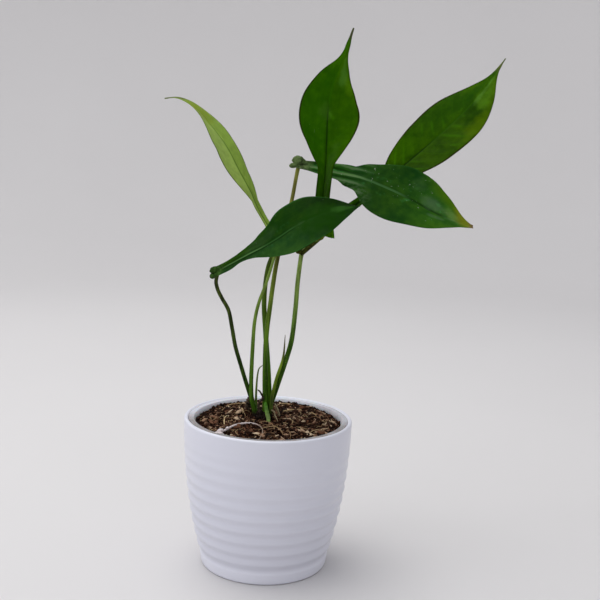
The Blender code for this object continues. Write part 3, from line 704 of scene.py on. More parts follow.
    def lay_underside(self):
        """A paler green with faint veins, for the points that look down."""
        left, right = self.leaf.colours
        lift = self.lift**2
        below = self.mix(self.span(self.cloud, 0.3, 0.7), [1.8 * lift * c + 0.006 for c in left],
                         [2.1 * lift * c + 0.01 for c in right])
        self.lay(self.mix(self.times(self.vein, 0.3), below, self.paler), self.under)

    def lay_base(self):
        colour = self.leaf.base_colour
        rough = self.mix(self.span(self.noise(420, 3), 0.4, 0.6), colour, [0.45 * c for c in colour])
        self.lay(rough, self.span(self.ragged_share, 0.1, 0.04))


def leaf_finish(leaf):
    f = LeafSkin(leaf)
    f.lay_green()
    f.shade()
    f.lay_veins()
    f.lay_midrib()
    f.lay_margin()
    f.lay_specks()
    if leaf.wear_and_fold_shade:
        f.lay_wear_and_fold_shade()
    f.lay_patches()
    f.lay_tip()
    f.lay_underside()
    f.lay_base()
    gloss = f.plus(f.span(f.noise(120, 4), 0.3, 0.7, 0.34, 0.46), f.times(f.under, 0.2))
    ridges = f.times(f.plus(f.times(f.wave, 0.4), f.times(f.fine_wave, 0.12)), f.clear)
    return f.made(f.skin, gloss, f.plus(ridges, f.times(f.noise(900, 3), 0.3)), 0.1, 0.5)


def stalk_finish(name, low, high, turn=0.1, earth=129.0, bands=()):
    """One green at the foot and another at the leaf, with soil on it up to a height."""
    f = Finish(f"{name}_skin", Specular_IOR_Level=0.09)
    share = f.attribute("share")
    f.skin = f.mix(f.span(share, turn, 0.95 + 0.15 * turn), low, high)
    # bands of another colour: some the stalk's own, some painted shade and painted highlights
    for centre, reach, amount, colour in bands:
        off = f.math("ABSOLUTE", f.minus(share, centre))
        f.lay(colour, f.span(off, reach, 0.4 * reach, 0, amount))
    streak = f.noise(420, 3, stretch=(1, 1, 0.05))
    fleck = f.span(f.noise(1100, 2), 0.62, 0.7)
    f.mottle(f.span(streak, 0.38, 0.62), 0.4, 0.06, (0.5, 0.7, 0.1))
    f.lay([1.8 * c + 0.02 for c in high], fleck, 0.2)
    f.lay(EARTH, f.span(f.plus(f.reach("Z"), f.times(f.noise(260, 3), 5)), earth, earth - 5.5))
    return f.made(f.skin, f.span(streak, 0.3, 0.7, 0.38, 0.5), f.plus(streak, f.times(fleck, 0.3)), 0.15, 0.5)


def dry_finish(name, dark, light, specular=0.25):
    """Dry, fibrous tissue."""
    f = Finish(name, Specular_IOR_Level=specular)
    grain = f.noise(600, 5, stretch=(1, 1, 0.2), roughness=0.65)
    return f.made(f.mix(f.span(grain, 0.35, 0.65), dark, light), 0.8, grain, 0.4, 0.8)


def nylon_finish():
    """Clear nylon, browned by the mix to the right."""
    f = Finish("label_nylon_clear", Specular_IOR_Level=0.35)
    fresh = f.mix(f.noise(110, 2), (0.5, 0.42, 0.4), (0.8, 0.72, 0.73))
    colour = f.mix(f.span(f.reach("X"), -15, -5), fresh, (0.27, 0.19, 0.145))
    return f.made(colour, 0.4, f.noise(900, 2), 0.05, 0.4)


# Pots ---------------------------------------------------------------------------------------------


def pot_radius(z):
    """The outer pot's radius at a height, with its soft ribs."""
    wave = math.cos(2 * math.pi * (max(z, RIB_FIRST) - RIB_FIRST) / RIB_PITCH)
    fade = np.interp(z, (55, 80, 98, RIB_END), (1, 0.5, 0.22, 0))
    swell = FOOT_SWELL * max(0.0, 1 - z / RIB_FIRST)
    return POT_RADIUS - POT_FLARE * (1 - z / POT_HEIGHT) ** 2 + RIB_DEPTH * wave * fade + swell


def arc(centre, radius, start, end, count):
    """Points of an arc between two angles in degrees."""
    angles = [math.radians(start + (end - start) * i / (count - 1)) for i in range(count)]
    return [(centre[0] + radius * math.cos(a), centre[1] + radius * math.sin(a)) for a in angles]


def make_pot():
    """The outer pot: satin inside and out, with a rolled lip and soft ribs."""
    roll, segments = POT_LIP / 2, 180
    inside = [(pot_radius(z) - POT_WALL, z) for z in np.linspace(POT_FLOOR + 3, POT_HEIGHT - 9, 20)]
    inside = [(0, POT_FLOOR), (inside[0][0] - 3, POT_FLOOR), *inside, (POT_RADIUS - POT_LIP, POT_HEIGHT - 5)]
    lip = arc((POT_RADIUS - roll, POT_HEIGHT - roll), roll, 180, 0, 15)
    heights = np.linspace(POT_HEIGHT - roll - 0.6, POT_EDGE, 150)
    outside = [(pot_radius(z), z) for z in heights]
    foot = arc((pot_radius(POT_EDGE) - POT_EDGE, POT_EDGE), POT_EDGE, 0, -90, 8)[1:]
    points, faces = lathe_mesh([*inside, *lip, *outside, *foot, (0, 0)], segments)
    inner = np.zeros(len(points))
    # these points get painted light in the finish
    inner[:(len(inside) + 3) * segments] = 1  # the inside, and the lip's first few rings
    add_piece("pot_body", points, faces, pot_finish(), ["outer_pot"], {"inside": inner})


def nursery_inner_radius(z):
    """The radius inside the nursery pot at a height."""
    share = (z - POT_FLOOR) / (NURSERY_TOP - POT_FLOOR)
    return NURSERY_FOOT_RADIUS + (NURSERY_MOUTH_RADIUS - NURSERY_FOOT_RADIUS) * share - NURSERY_WALL


def make_nursery_pot():
    """The thin inner pot, whose rolled rim shows between the outer pot and the mix."""
    floor = POT_FLOOR + 0.3
    inside = floor + NURSERY_WALL
    under_rim = NURSERY_TOP - NURSERY_RIM_HEIGHT
    profile = [(0, inside), (nursery_inner_radius(inside) - 1.5, inside)]
    profile += [(nursery_inner_radius(z), z) for z in np.linspace(inside + 1.5, NURSERY_TOP - 0.8, 20)]
    profile += arc((NURSERY_MOUTH_RADIUS - NURSERY_WALL + 0.9, NURSERY_TOP - 0.9), 0.9, 170, 95, 6)
    profile += arc((NURSERY_RIM_RADIUS - 0.4, NURSERY_TOP - 0.4), 0.4, 85, 0, 5)
    profile += [(NURSERY_RIM_RADIUS, under_rim + 0.3), (NURSERY_RIM_RADIUS - 0.3, under_rim)]
    profile += [(nursery_inner_radius(under_rim) + NURSERY_WALL + 0.1, under_rim)]
    profile += [(nursery_inner_radius(z) + NURSERY_WALL, z)
                for z in np.linspace(under_rim - 0.6, floor + 0.8, 16)]
    profile += [(NURSERY_FOOT_RADIUS - 0.8, floor), (0, floor)]
    points, faces = lathe_mesh(profile, 120)
    add_piece("nursery_pot_body", points, faces, nursery_finish(), ["nursery_pot"])


# Potting mix --------------------------------------------------------------------------------------


def soil_height(x, y):
    """The mix's top at a place, from a low mound, clumps and crumbs."""
    share = min(1.0, math.hypot(x, y) / SOIL_EDGE_RADIUS)
    edge = 1.4 * max(0.0, share - 0.86) / 0.14
    behind = SOIL_BANK * max(0.0, min(1.0, (y - 18) / 34)) ** 1.5
    hump = SOIL_HUMP * math.exp(-((x + 19) ** 2 + (y - 15) ** 2) / 50)
    rough = sum(high * noise.noise(Vector((x / wide, y / wide, level))) for wide, level, high in SOIL_LUMPS)
    return SOIL_EDGE_Z + SOIL_MOUND * (1 - share**2) + behind + hump + rough - edge


def make_soil():
    """The body of the mix, to the nursery pot's floor, with a fine uneven top."""
    sectors, rings = 260, 110
    ring = np.stack([np.cos(turns(sectors)), np.sin(turns(sectors))], 1)
    top = [[(x, y, soil_height(x, y)) for x, y in radius * ring]
           for radius in SOIL_EDGE_RADIUS * np.linspace(0.01, 1, rings)]
    wall = [[(x, y, z) for x, y in (nursery_inner_radius(z) - SOIL_GAP) * ring]
            for z in (112, 60, SOIL_FLOOR + 2, SOIL_FLOOR)]
    ends = (0, 0, soil_height(0, 0)), (0, 0, SOIL_FLOOR)
    points, faces = closed_skin(np.array(top + wall), *ends, inward=True)
    add_piece("mix_body", points, faces, soil_finish(), ["potting_mix"])


def scattered(rng, count, reach=0.985):
    """Places spread evenly over the mix's top."""
    radius = SOIL_EDGE_RADIUS * reach * np.sqrt(rng.random(count))
    turn = 2 * np.pi * rng.random(count)
    return np.stack([radius * np.cos(turn), radius * np.sin(turn)], 1)


def turn_matrix(rng, tilt):
    """A random turn about Z after a tilt of at most so many degrees."""
    yaw = Matrix.Rotation(rng.random() * 2 * math.pi, 3, "Z")
    pitch = Matrix.Rotation(math.radians(tilt) * (2 * rng.random() - 1), 3, "X")
    roll = Matrix.Rotation(math.radians(tilt) * (2 * rng.random() - 1), 3, "Y")
    return np.array(yaw @ pitch @ roll)


def splinter(rng, length, width, thick):
    """A chip with ragged, narrowed ends."""
    stations = np.array([-0.5, -0.28, 0.05, 0.33, 0.5])
    spread = np.array([0.35, 0.95, 1.0, 0.85, 0.25])
    corners = np.array([(-0.5, -0.5), (0.5, -0.5), (0.5, 0.5), (-0.5, 0.5)])
    points = []
    for place, wide in zip(stations, spread):
        for a, b in corners:
            points.append((place * length, a * width * wide, b * thick * (0.5 + 0.5 * wide)))
    points = np.array(points) + rng.normal(0, 1, (20, 3)) * (0.05 * length, 0.1 * width, 0.12 * thick)
    return points, grid_faces(5, 4, closed=True) + [(3, 2, 1, 0), (16, 17, 18, 19)]


CLODS = [  # degrees round the mix's edge, size
    (168, 4.2), (163, 3.0), (152, 3.6), (147, 4.4), (142, 5.4), (138, 6.2), (134, 4.8), (128, 3.0),
    (120, 3.2), (113, 3.4), (108, 3.6), (101, 3.0), (95, 2.6), (82, 3.2), (74, 2.6), (68, 3.4), (60, 3.0),
    (52, 3.6), (41, 3.0), (28, 3.2), (9, 2.6), (-12, 2.8), (176, 3.0), (188, 2.6)]
CLOD_SHAPES = np.random.default_rng(5)  # the clods' own draws
CHIPS = [  # ends, width, thickness, tint
    ((-25.8, 4.2), (-22.3, 14.8), 3.4, 1.2, 0.82), ((-26.9, -4.0), (-22.4, -1.6), 4.4, 1.4, 0.86),
    ((-47.8, 2.5), (-40.6, -2.2), 2.8, 0.9, 0.6), ((-46, 0.5), (-40, -6.5), 1.6, 0.9, 0.5),
    ((-47.5, -8.8), (-42.7, -20.5), 1.6, 0.9, 0.54), ((-45, -9.8), (-42.5, -15), 1.6, 0.9, 0.44),
    ((-41.9, -19.2), (-40.4, -12.5), 2.2, 1.0, 0.52), ((-25.5, 28.3), (-24.3, 18.1), 1.2, 0.8, 0.8),
    ((-52.4, -10), (-49.6, -3), 2.4, 1.0, 0.72), ((-47, -24), (-43.6, -29), 2.4, 0.9, 0.8),
    ((-10.2, -41.3), (-4.8, -41.5), 2.8, 1.2, 0.95)]


def off_centre(x, y, centre, radii):
    """How far a place is from an oval's centre, where 1 is the oval's edge."""
    return math.hypot((x - centre[0]) / radii[0], (y - centre[1]) / radii[1])


def off_crown(x, y):
    return off_centre(x, y, CROWN_CENTRE, CROWN_SHOWN)


def in_shade(x, y):
    """Whether the mix is darker here: beside the crown and inside the label's loop."""
    return off_crown(x, y) < 1.6 or off_centre(x, y, LOOP_CENTRE, LOOP_RADII) < 1


def strew(name, bits, stops, roughness):
    """Joins bits that lie on the mix. Each is its points, its faces and its tint."""
    parts = [(points, faces) for points, faces, _ in bits]
    finish = bits_finish(name[:-1], stops, roughness)
    joined(name, parts, [tint for _, _, tint in bits], finish)


def make_chips(rng):
    """Bark chips of all sizes on the mix, with upright ones by the nursery pot's wall."""
    places = [(x, y, CHIP_TILT, rng.gamma(2.0, 0.95) + 0.9)
              for x, y in scattered(rng, SMALL_CHIPS) if off_crown(x, y) > 0.95]
    places += [(x, y, LARGE_TILT, rng.uniform(4, 8.5))
               for x, y in scattered(rng, LARGE_CHIPS, 0.93) if off_crown(x, y) > 1.2]
    for turn in rng.uniform(0, 2 * math.pi, WALL_CHIPS):
        reach = SOIL_EDGE_RADIUS * rng.uniform(0.95, 0.995)
        places.append((reach * math.cos(turn), reach * math.sin(turn), WALL_TILT, rng.uniform(1.4, 4.4)))
    chips = []
    for degrees, size in CLODS:
        turn = math.radians(degrees)
        x, y = (0.965 * SOIL_EDGE_RADIUS - size / 3) * np.array([math.cos(turn), math.sin(turn)])
        points, faces = lump(CLOD_SHAPES, size)
        points = points @ turn_matrix(CLOD_SHAPES, 50).T
        points += (x, y, soil_height(x, y) + 0.3 * size)
        chips.append((points, faces, CLOD_SHAPES.uniform(0, 0.16)))
    for x, y, tilt, size in places:
        points, faces = splinter(rng, size, size * rng.uniform(0.22, 0.6), rng.uniform(0.3, 1.0))
        points = points @ turn_matrix(rng, tilt).T + (x, y, soil_height(x, y) + rng.uniform(0.1, 0.9))
        reach = np.linalg.norm(points[:, :2], axis=1).max()
        points[:, :2] *= min(1.0, (SOIL_EDGE_RADIUS + 0.2) / reach)
        dark = rng.random() < 0.6 or tilt == WALL_TILT
        tint = rng.uniform(0, 0.34) if dark else rng.beta(2.6, 1.8)
        chips.append((points, faces, tint * (0.62 if in_shade(x, y) else 1)))
    for (x0, y0), (x1, y1), width, thick, tint in CHIPS:
        points, faces = splinter(rng, math.hypot(x1 - x0, y1 - y0), width, thick)
        yaw = Matrix.Rotation(math.atan2(y1 - y0, x1 - x0), 3, "Z")
        turn = np.array(yaw @ Matrix.Rotation(math.radians(14), 3, "X"))
        x, y = (x0 + x1) / 2, (y0 + y1) / 2
        chips.append((points @ turn.T + (x, y, soil_height(x, y) + 1.6), faces, tint))
    stops = [(0.02, (0.006, 0.002, 0.001)), (0.28, (0.032, 0.011, 0.005)), (0.5, (0.115, 0.047, 0.024)),
             (0.7, (0.28, 0.16, 0.1)), (0.95, (0.6, 0.46, 0.31))]
    strew("bark_chips", chips, stops, 0.85)


def lump(rng, size):
    """A small uneven crumb."""
    t = (1 + 5 ** 0.5) / 2
    base = np.array([(-1, t, 0), (1, t, 0), (-1, -t, 0), (1, -t, 0), (0, -1, t), (0, 1, t),
                     (0, -1, -t), (0, 1, -t), (t, 0, -1), (t, 0, 1), (-t, 0, -1), (-t, 0, 1)], float)
    faces = [(0, 11, 5), (0, 5, 1), (0, 1, 7), (0, 7, 10), (0, 10, 11), (1, 5, 9), (5, 11, 4), (11, 10, 2),
             (10, 7, 6), (7, 1, 8), (3, 9, 4), (3, 4, 2), (3, 2, 6), (3, 6, 8), (3, 8, 9), (4, 9, 5),
             (2, 4, 11), (6, 2, 10), (8, 6, 7), (9, 8, 1)]
    points = base / 1.9 * (size / 2) * (1 + rng.normal(0, 0.2, (12, 1)))
    return points * (1, rng.uniform(0.6, 1), rng.uniform(0.5, 0.9)), faces


def make_crumbs(rng):
    """Crumbs of peat all over the mix."""
    crumbs = []
    for x, y in scattered(rng, CRUMBS):
        if off_crown(x, y) < 0.8:
            continue
        size = rng.uniform(0.6, 1.9)
        points, faces = lump(rng, size)
        points = points @ turn_matrix(rng, CRUMB_TILT).T + (x, y, soil_height(x, y) + 0.2 * size)
        crumbs.append((points, faces, rng.beta(1.1, 2.8)))
    stops = [(0.05, (0.005, 0.0015, 0.0006)), (0.4, (0.036, 0.0125, 0.0055)), (0.75, (0.15, 0.072, 0.04)),
             (0.97, (0.46, 0.33, 0.22))]
    strew("peat_crumbs", crumbs, stops, 0.92)


def fibre(rng, route, radius, arch):
    """A fibre lying on the mix along a route of x, y points."""
    plan = smooth_path([(x, y, 0) for x, y in route], 11)
    reach = np.maximum(1.0, np.hypot(plan[:, 0], plan[:, 1]) / (SOIL_EDGE_RADIUS - 0.6))
    plan[:, :2] /= reach[:, None]
    ground = np.array([soil_height(x, y) for x, y, _ in plan])
    smooth = np.convolve(np.pad(ground, 2, mode="edge"), np.ones(5) / 5, "valid")
    along = np.linspace(-1, 1, 11)
    plan[:, 2] = smooth + radius + 0.5 + arch * (1 - along**2) - 0.6 * along**4
    return tube_mesh(plan, radius * (1 - 0.3 * along**2) * rng.uniform(0.85, 1.15, 11), 5)


def curl(rng, x, y, length, bend):
    """A route with a steady bend, headed anywhere."""
    heading = rng.uniform(0, 2 * math.pi) + bend * np.linspace(-0.5, 0.5, 5)
    step = length / 5
    return [(x + step * i * math.cos(a), y + step * i * math.sin(a)) for i, a in enumerate(heading, -2)]


STRAWS = [  # route, radius, tint
    ([(9, 21), (17, 24.6), (22, 26.4), (28, 30)], 0.7, 0.76),
    ([(32, 27), (36, 21), (40, 15.5)], 0.5, 0.7),
    ([(-32.6, 4.5), (-33.5, 7), (-34.3, 3), (-35.1, -2.5), (-34.8, -12), (-33.8, -21)], 0.48, 1.0),
    ([(-6.6, -17), (-6, -12), (-3.1, -9.4), (1.5, -12.1), (4.5, -19.4), (6.4, -29)], 0.45, 0.62),
    ([(-8, -33), (-3.9, -27.4), (1, -24.6), (6.2, -23.2), (10, -29), (13.4, -39)], 0.45, 0.66),
    ([(15, -29), (18, -36), (19, -44)], 0.35, 0.6), ([(22, -16), (26, -21), (33, -22)], 0.4, 0.7),
    ([(44, 4), (40, 12), (34, 14)], 0.35, 0.5), ([(50, 10), (47, 20), (44, 28)], 0.35, 0.5),
    ([(-26, 24), (-22, 16), (-21, 9)], 0.5, 0.85), ([(-46, -14), (-42, -2), (-47, 9)], 0.4, 0.6),
    ([(16, 2), (20, -5), (19, -13)], 0.4, 0.75), ([(33, -30), (38, -24), (46, -22)], 0.45, 0.72),
    ([(3, 36), (10, 44), (20, 46)], 0.45, 0.8), ([(-40, 26), (-32, 38), (-20, 44)], 0.45, 0.8),
    ([(-18, -28), (-24, -36), (-20, -46)], 0.4, 0.66),
]


def make_fibres(rng):
    """Fine fibres all over the mix, and a few straws where they catch the eye."""
    fibres = [(*fibre(rng, route, radius, 0.8), tint) for route, radius, tint in STRAWS]
    for x, y in scattered(rng, FIBRES, 0.93):
        route = curl(rng, x, y, rng.uniform(3, 13), rng.uniform(-1.8, 1.8))
        points, faces = fibre(rng, route, rng.uniform(0.12, 0.3), rng.uniform(0, 0.8))
        fibres.append((points, faces, rng.uniform(0.15, 0.85)))
    stops = [(0.1, (0.04, 0.02, 0.01)), (0.5, (0.17, 0.09, 0.045)), (0.8, (0.42, 0.3, 0.16)),
             (1.0, (0.62, 0.48, 0.27))]
    strew("mix_fibres", fibres, stops, 0.7)


# Leaves and stalks --------------------------------------------------------------------------------


def leaf_frame(leaf, shares):
    """Midrib points, directions along it, and the way its upper side looks, at shares of its length."""
    fine = smooth_path(leaf.midrib, 240)
    length = travelled(fine)[-1]
    at = shares * (len(fine) - 1)
    index = np.arange(len(fine))
    spine = np.stack([np.interp(at, index, fine[:, i]) for i in range(3)], 1)
    slope = np.gradient(fine, axis=0)
    along = unit(np.stack([np.interp(at, index, slope[:, i]) for i in range(3)], 1))
    base, tip = np.array(leaf.faces, float)
    look = base + (tip - base) * shares[:, None]
    look = unit(look - (look * along).sum(1, keepdims=True) * along)
    return spine, along, look, length


def half_width(leaf, shares):
    """The plain outline's half width at each share of the length."""
    x = np.clip((shares - leaf.neck) / (1 - leaf.neck), 0, 1)
    peak = (leaf.widest - leaf.neck) / (1 - leaf.neck)
    lead = leaf.taper * peak / (1 - peak)
    bulge = (x / peak) ** lead * ((1 - x) / (1 - peak)) ** leaf.taper
    strap = leaf.strap * np.sqrt(np.clip((1 - shares) / (1 - leaf.neck), 0, 1)) * (1 - x)
    return np.maximum(strap + leaf.blade * bulge, 0.35)


def side_trim(leaf, shares, s):
    """What each half is wider than the plain outline, at each share of the length."""
    fine = np.linspace(0, 1, 201)
    knots = np.array(leaf.trims, float)
    window = np.hanning(13) / np.hanning(13).sum()
    sides = []
    for column in (1, 2):
        rough = np.pad(np.interp(fine, knots[:, 0], knots[:, column]), 6, mode="edge")
        ear = leaf.ears[column - 1][1] * np.exp(-((shares / EAR_SHARE) ** 2))
        sides.append(np.interp(shares, fine, np.convolve(rough, window, "valid")) + ear)
    return np.where(s < 0, sides[0][:, None], sides[1][:, None])


def blade_surface(leaf, shares, side):
    """The blade's middle surface, the way it looks, its thickness, its keel, and facts for the finish."""
    spine, along, look, length = leaf_frame(leaf, shares)
    across = np.cross(along, look)
    s = side[None, :]
    half = half_width(leaf, shares)[:, None] + side_trim(leaf, shares, s)
    rise = np.interp(shares, [0, leaf.neck, 1], leaf.rise)[:, None]
    out = np.abs(s)
    run = shares[:, None]
    in_blade = np.clip((run - leaf.neck) / 0.15, 0, 1)
    from_rib = half * out
    vein = run * length / VEIN_PITCH - VEIN_SWEEP * out**1.25 + 0.5 * (s > 0)
    height = half * rise * (np.sqrt(out**2 + 0.004) - 0.063)
    height -= GROOVE * np.exp(-((from_rib / 1.1) ** 2)) * np.clip(1.05 - run, 0, 1)
    height += 0.07 * in_blade * np.cos(2 * np.pi * vein) * np.clip(out * 4, 0, 1) * (1 - out**3)
    ripple = np.sin(2 * np.pi * (run * 3.1 + 0.3 * s)) + 0.6 * np.sin(2 * np.pi * (run * 5.3 - 0.4 * s))
    height += leaf.wave * ripple * out**2 * in_blade
    height += leaf.pleats * np.cos(PLEAT * from_rib) * np.clip((0.46 - run) / 0.14, 0, 1)
    lobe = np.clip((out - NOTCH_SHARE) / (1 - NOTCH_SHARE), 0, 1)
    fade = np.clip(1 - run / EAR_SHARE, 0, 1) ** 2
    ears = np.where(s[..., None] < 0, *(np.array(ear) for ear in leaf.ears))
    length_of, lift, square = ears[..., 0], ears[..., 2], ears[..., 3]
    swell = (1 - square) * np.sin(np.pi * lobe) ** 0.7 + square * lobe**0.8
    ragged = 1 + 0.12 * np.sin(23 * lobe + 4 * leaf.strap)
    back = length_of * fade * swell * ragged
    height += lift * fade * swell
    points = (spine[:, None] + (half * s)[..., None] * across[:, None]
              + height[..., None] * look[:, None] - back[..., None] * along[:, None])
    thick = (BLADE_THICK + STRAP_THICK * (1 - in_blade)) * (1 - 0.65 * out**6)
    keel = KEEL * np.exp(-((from_rib / 1.3) ** 2)) * np.clip(1.1 - run, 0, 1)
    facts = {"share": run + 0 * s, "side": s + 0 * run, "vein": vein, "from_rib": from_rib,
             "along": run * length + 0 * s, "across": half * s}
    return points, look, thick, keel, facts


def make_blade(leaf):
    """A thin closed blade: grooved over its midrib, keeled under it, with soft side veins."""
    shares = np.concatenate([np.linspace(0, EAR_SHARE, 22, endpoint=False), np.linspace(EAR_SHARE, 1, 130)])
    x = np.linspace(-1, 1, 47)
    side = np.sign(x) * np.abs(x) ** 1.35
    points, look, thick, keel, facts = blade_surface(leaf, shares, side)
    rows, columns = points.shape[:2]
    normal = unit(np.cross(np.gradient(points, axis=1), np.gradient(points, axis=0)))
    normal *= np.sign((normal * look[:, None]).sum(-1).mean())
    top = points + normal * (thick / 2)[..., None]
    bottom = points - normal * (thick / 2 + keel)[..., None]
    quads, count = grid_faces(rows, columns), rows * columns
    rim = [*range(columns), *range(2 * columns - 1, count, columns),
           *range(count - 2, count - columns - 1, -1), *range(count - 2 * columns, 0, -columns)]
    faces = quads + [tuple(i + count for i in reversed(quad)) for quad in quads]
    faces += [(a + count, b + count, b, a) for a, b in zip(rim, rim[1:] + rim[:1])]
    attributes = {key: np.tile(value.ravel(), 2) for key, value in facts.items()}
    attributes["under"] = np.repeat([0, 1], count)
    points = np.vstack([top.reshape(-1, 3), bottom.reshape(-1, 3)])
    blade = add_piece(f"blade_{leaf.name}", points, faces, leaf_finish(leaf), [f"leaf_{leaf.name}"],
                      attributes)
    face_out(blade)


def blob(centre, radii, lean=0.0, rough=0.16, grain=2.2):
    """A lumpy, wrinkled ball. Its long way leans so many degrees in X and Z."""
    rows, columns = 22, 30
    rings = [[(math.cos(a), math.sin(a) * math.cos(b), math.sin(a) * math.sin(b)) for b in turns(columns)]
             for a in np.linspace(0, np.pi, rows + 2)[1:-1]]
    ball, faces = closed_skin(np.array(rings), (1, 0, 0), (-1, 0, 0))
    lumps = [noise.noise(Vector(p * grain + np.array(centre))) + 0.5 * noise.noise(Vector(p * grain * 2.6))
             for p in ball]
    ball *= 1 + rough * np.array(lumps)[:, None]
    tilt = np.array(Matrix.Rotation(math.radians(-lean), 3, "Y"))
    return (ball * radii) @ tilt.T + centre, faces


KNOBS = {  # centre, radii, lean, of the swollen ends behind each blade's base
    "right": [((16.0, 13, 328.0), (5.2, 2.8, 3.7), -8), ((12.2, 12.4, 324.1), (3.4, 2.2, 2.1), 12)],
    "front": [((-46.6, -9, 241.2), (3.6, 2.4, 2.6), 35), ((-47.6, -9.5, 236.3), (2.2, 2.0, 2.2), 20)],
    "back": [((19.4, 12, 255.6), (2.6, 1.8, 1.6), 10)],
}


def make_knobs(leaf):
    """The swollen end of the stalk behind a blade's base, where a leaf has one."""
    parts = [blob(*knob) for knob in KNOBS.get(leaf.name, [])]
    if parts:
        finish = bpy.data.materials[f"leaf_{leaf.name}_skin"]
        face_out(joined(f"knobs_{leaf.name}", parts, [0] * len(parts), finish))


def make_stalk(leaf):
    """The stalk, from its sheathing foot in the crown to the joint that turns into the leaf."""
    spine, along, look, _ = leaf_frame(leaf, np.array([0.0]))
    base, along, look = spine[0], along[0], look[0]
    shift, depth = leaf.joint
    knee = base + shift * along + depth * look
    bend = base + (shift + 1.4) * along - 1.0 * look
    end = base + (shift + 4.0) * along - 0.7 * look
    path = smooth_path([leaf.foot, *leaf.stalk, knee, bend, end], 150)
    share = np.linspace(0, 1, len(path))
    low, high = leaf.stalk_radii
    radii = low + (high - low) * share
    radii += 0.7 * np.exp(-((share / 0.07) ** 2)) + 0.25 * np.exp(-(((share - 0.975) / 0.03) ** 2))
    radii += 0.06 * np.array([noise.noise(Vector((s * 30, leaf.foot[0], 0))) for s in share])
    radii[-6:] *= np.linspace(1, 0.35, 6)
    sides = 20
    groove = 1 - 0.1 * np.exp(-((turns(sides) - np.pi) / 0.4) ** 2)
    finish = stalk_finish(f"stalk_{leaf.name}", *leaf.stalk_colours, leaf.stalk_turn, bands=leaf.bands)
    add_tube(f"stem_{leaf.name}", path, radii[:, None] * groove, sides, finish, [f"stalk_{leaf.name}"])


# Small pieces at the crown ------------------------------------------------------------------------


def rod(name, points, finish, replaces, count=40, rough=0.0):
    """A round, tapered piece through points of x, y, z and radius."""
    path = smooth_path(points, count)
    sizes = path[:, 3] * (1 + rough * np.array([noise.noise(Vector(p[:3] * 0.8)) for p in path]))
    add_tube(name, path[:, :3], sizes, 12, finish, replaces)


def make_crown():
    """The dark rootstock that shows between the stalks, lumpy with old scales."""
    (x, y), (wide, deep) = CROWN_CENTRE, CROWN_RADII
    points, levels, around = [], 52, 96
    for t in np.linspace(0, 1, levels):
        z = CROWN_FOOT + CROWN_HEIGHT * math.sin(t * math.pi / 2)
        scale = 0.93 * math.cos(t * math.pi / 2) ** 0.7 + 0.001
        for a in turns(around):
            bump = noise.noise(Vector((math.cos(a) * 2.2, math.sin(a) * 2.2, z / 2.2)))
            bump += 0.35 * noise.noise(Vector((math.cos(a) * 9, math.sin(a) * 9, z / 0.8)))
            r = scale * (1 + 0.22 * bump)
            points.append((x - 3 * t + 0.66 * wide * r * math.cos(a),
                           y - 5 * t + 0.9 * deep * r * math.sin(a), z + 2.2 * bump * scale))
    ends = [tuple(reversed(range(around))), tuple(range((levels - 1) * around, levels * around))]
    finish = dry_finish("crown_bark", (0.003, 0.002, 0.002), (0.022, 0.013, 0.01), 0.06)
    faces = grid_faces(levels, around, closed=True) + ends
    add_piece("crown_body", points, faces, finish, ["crown"])


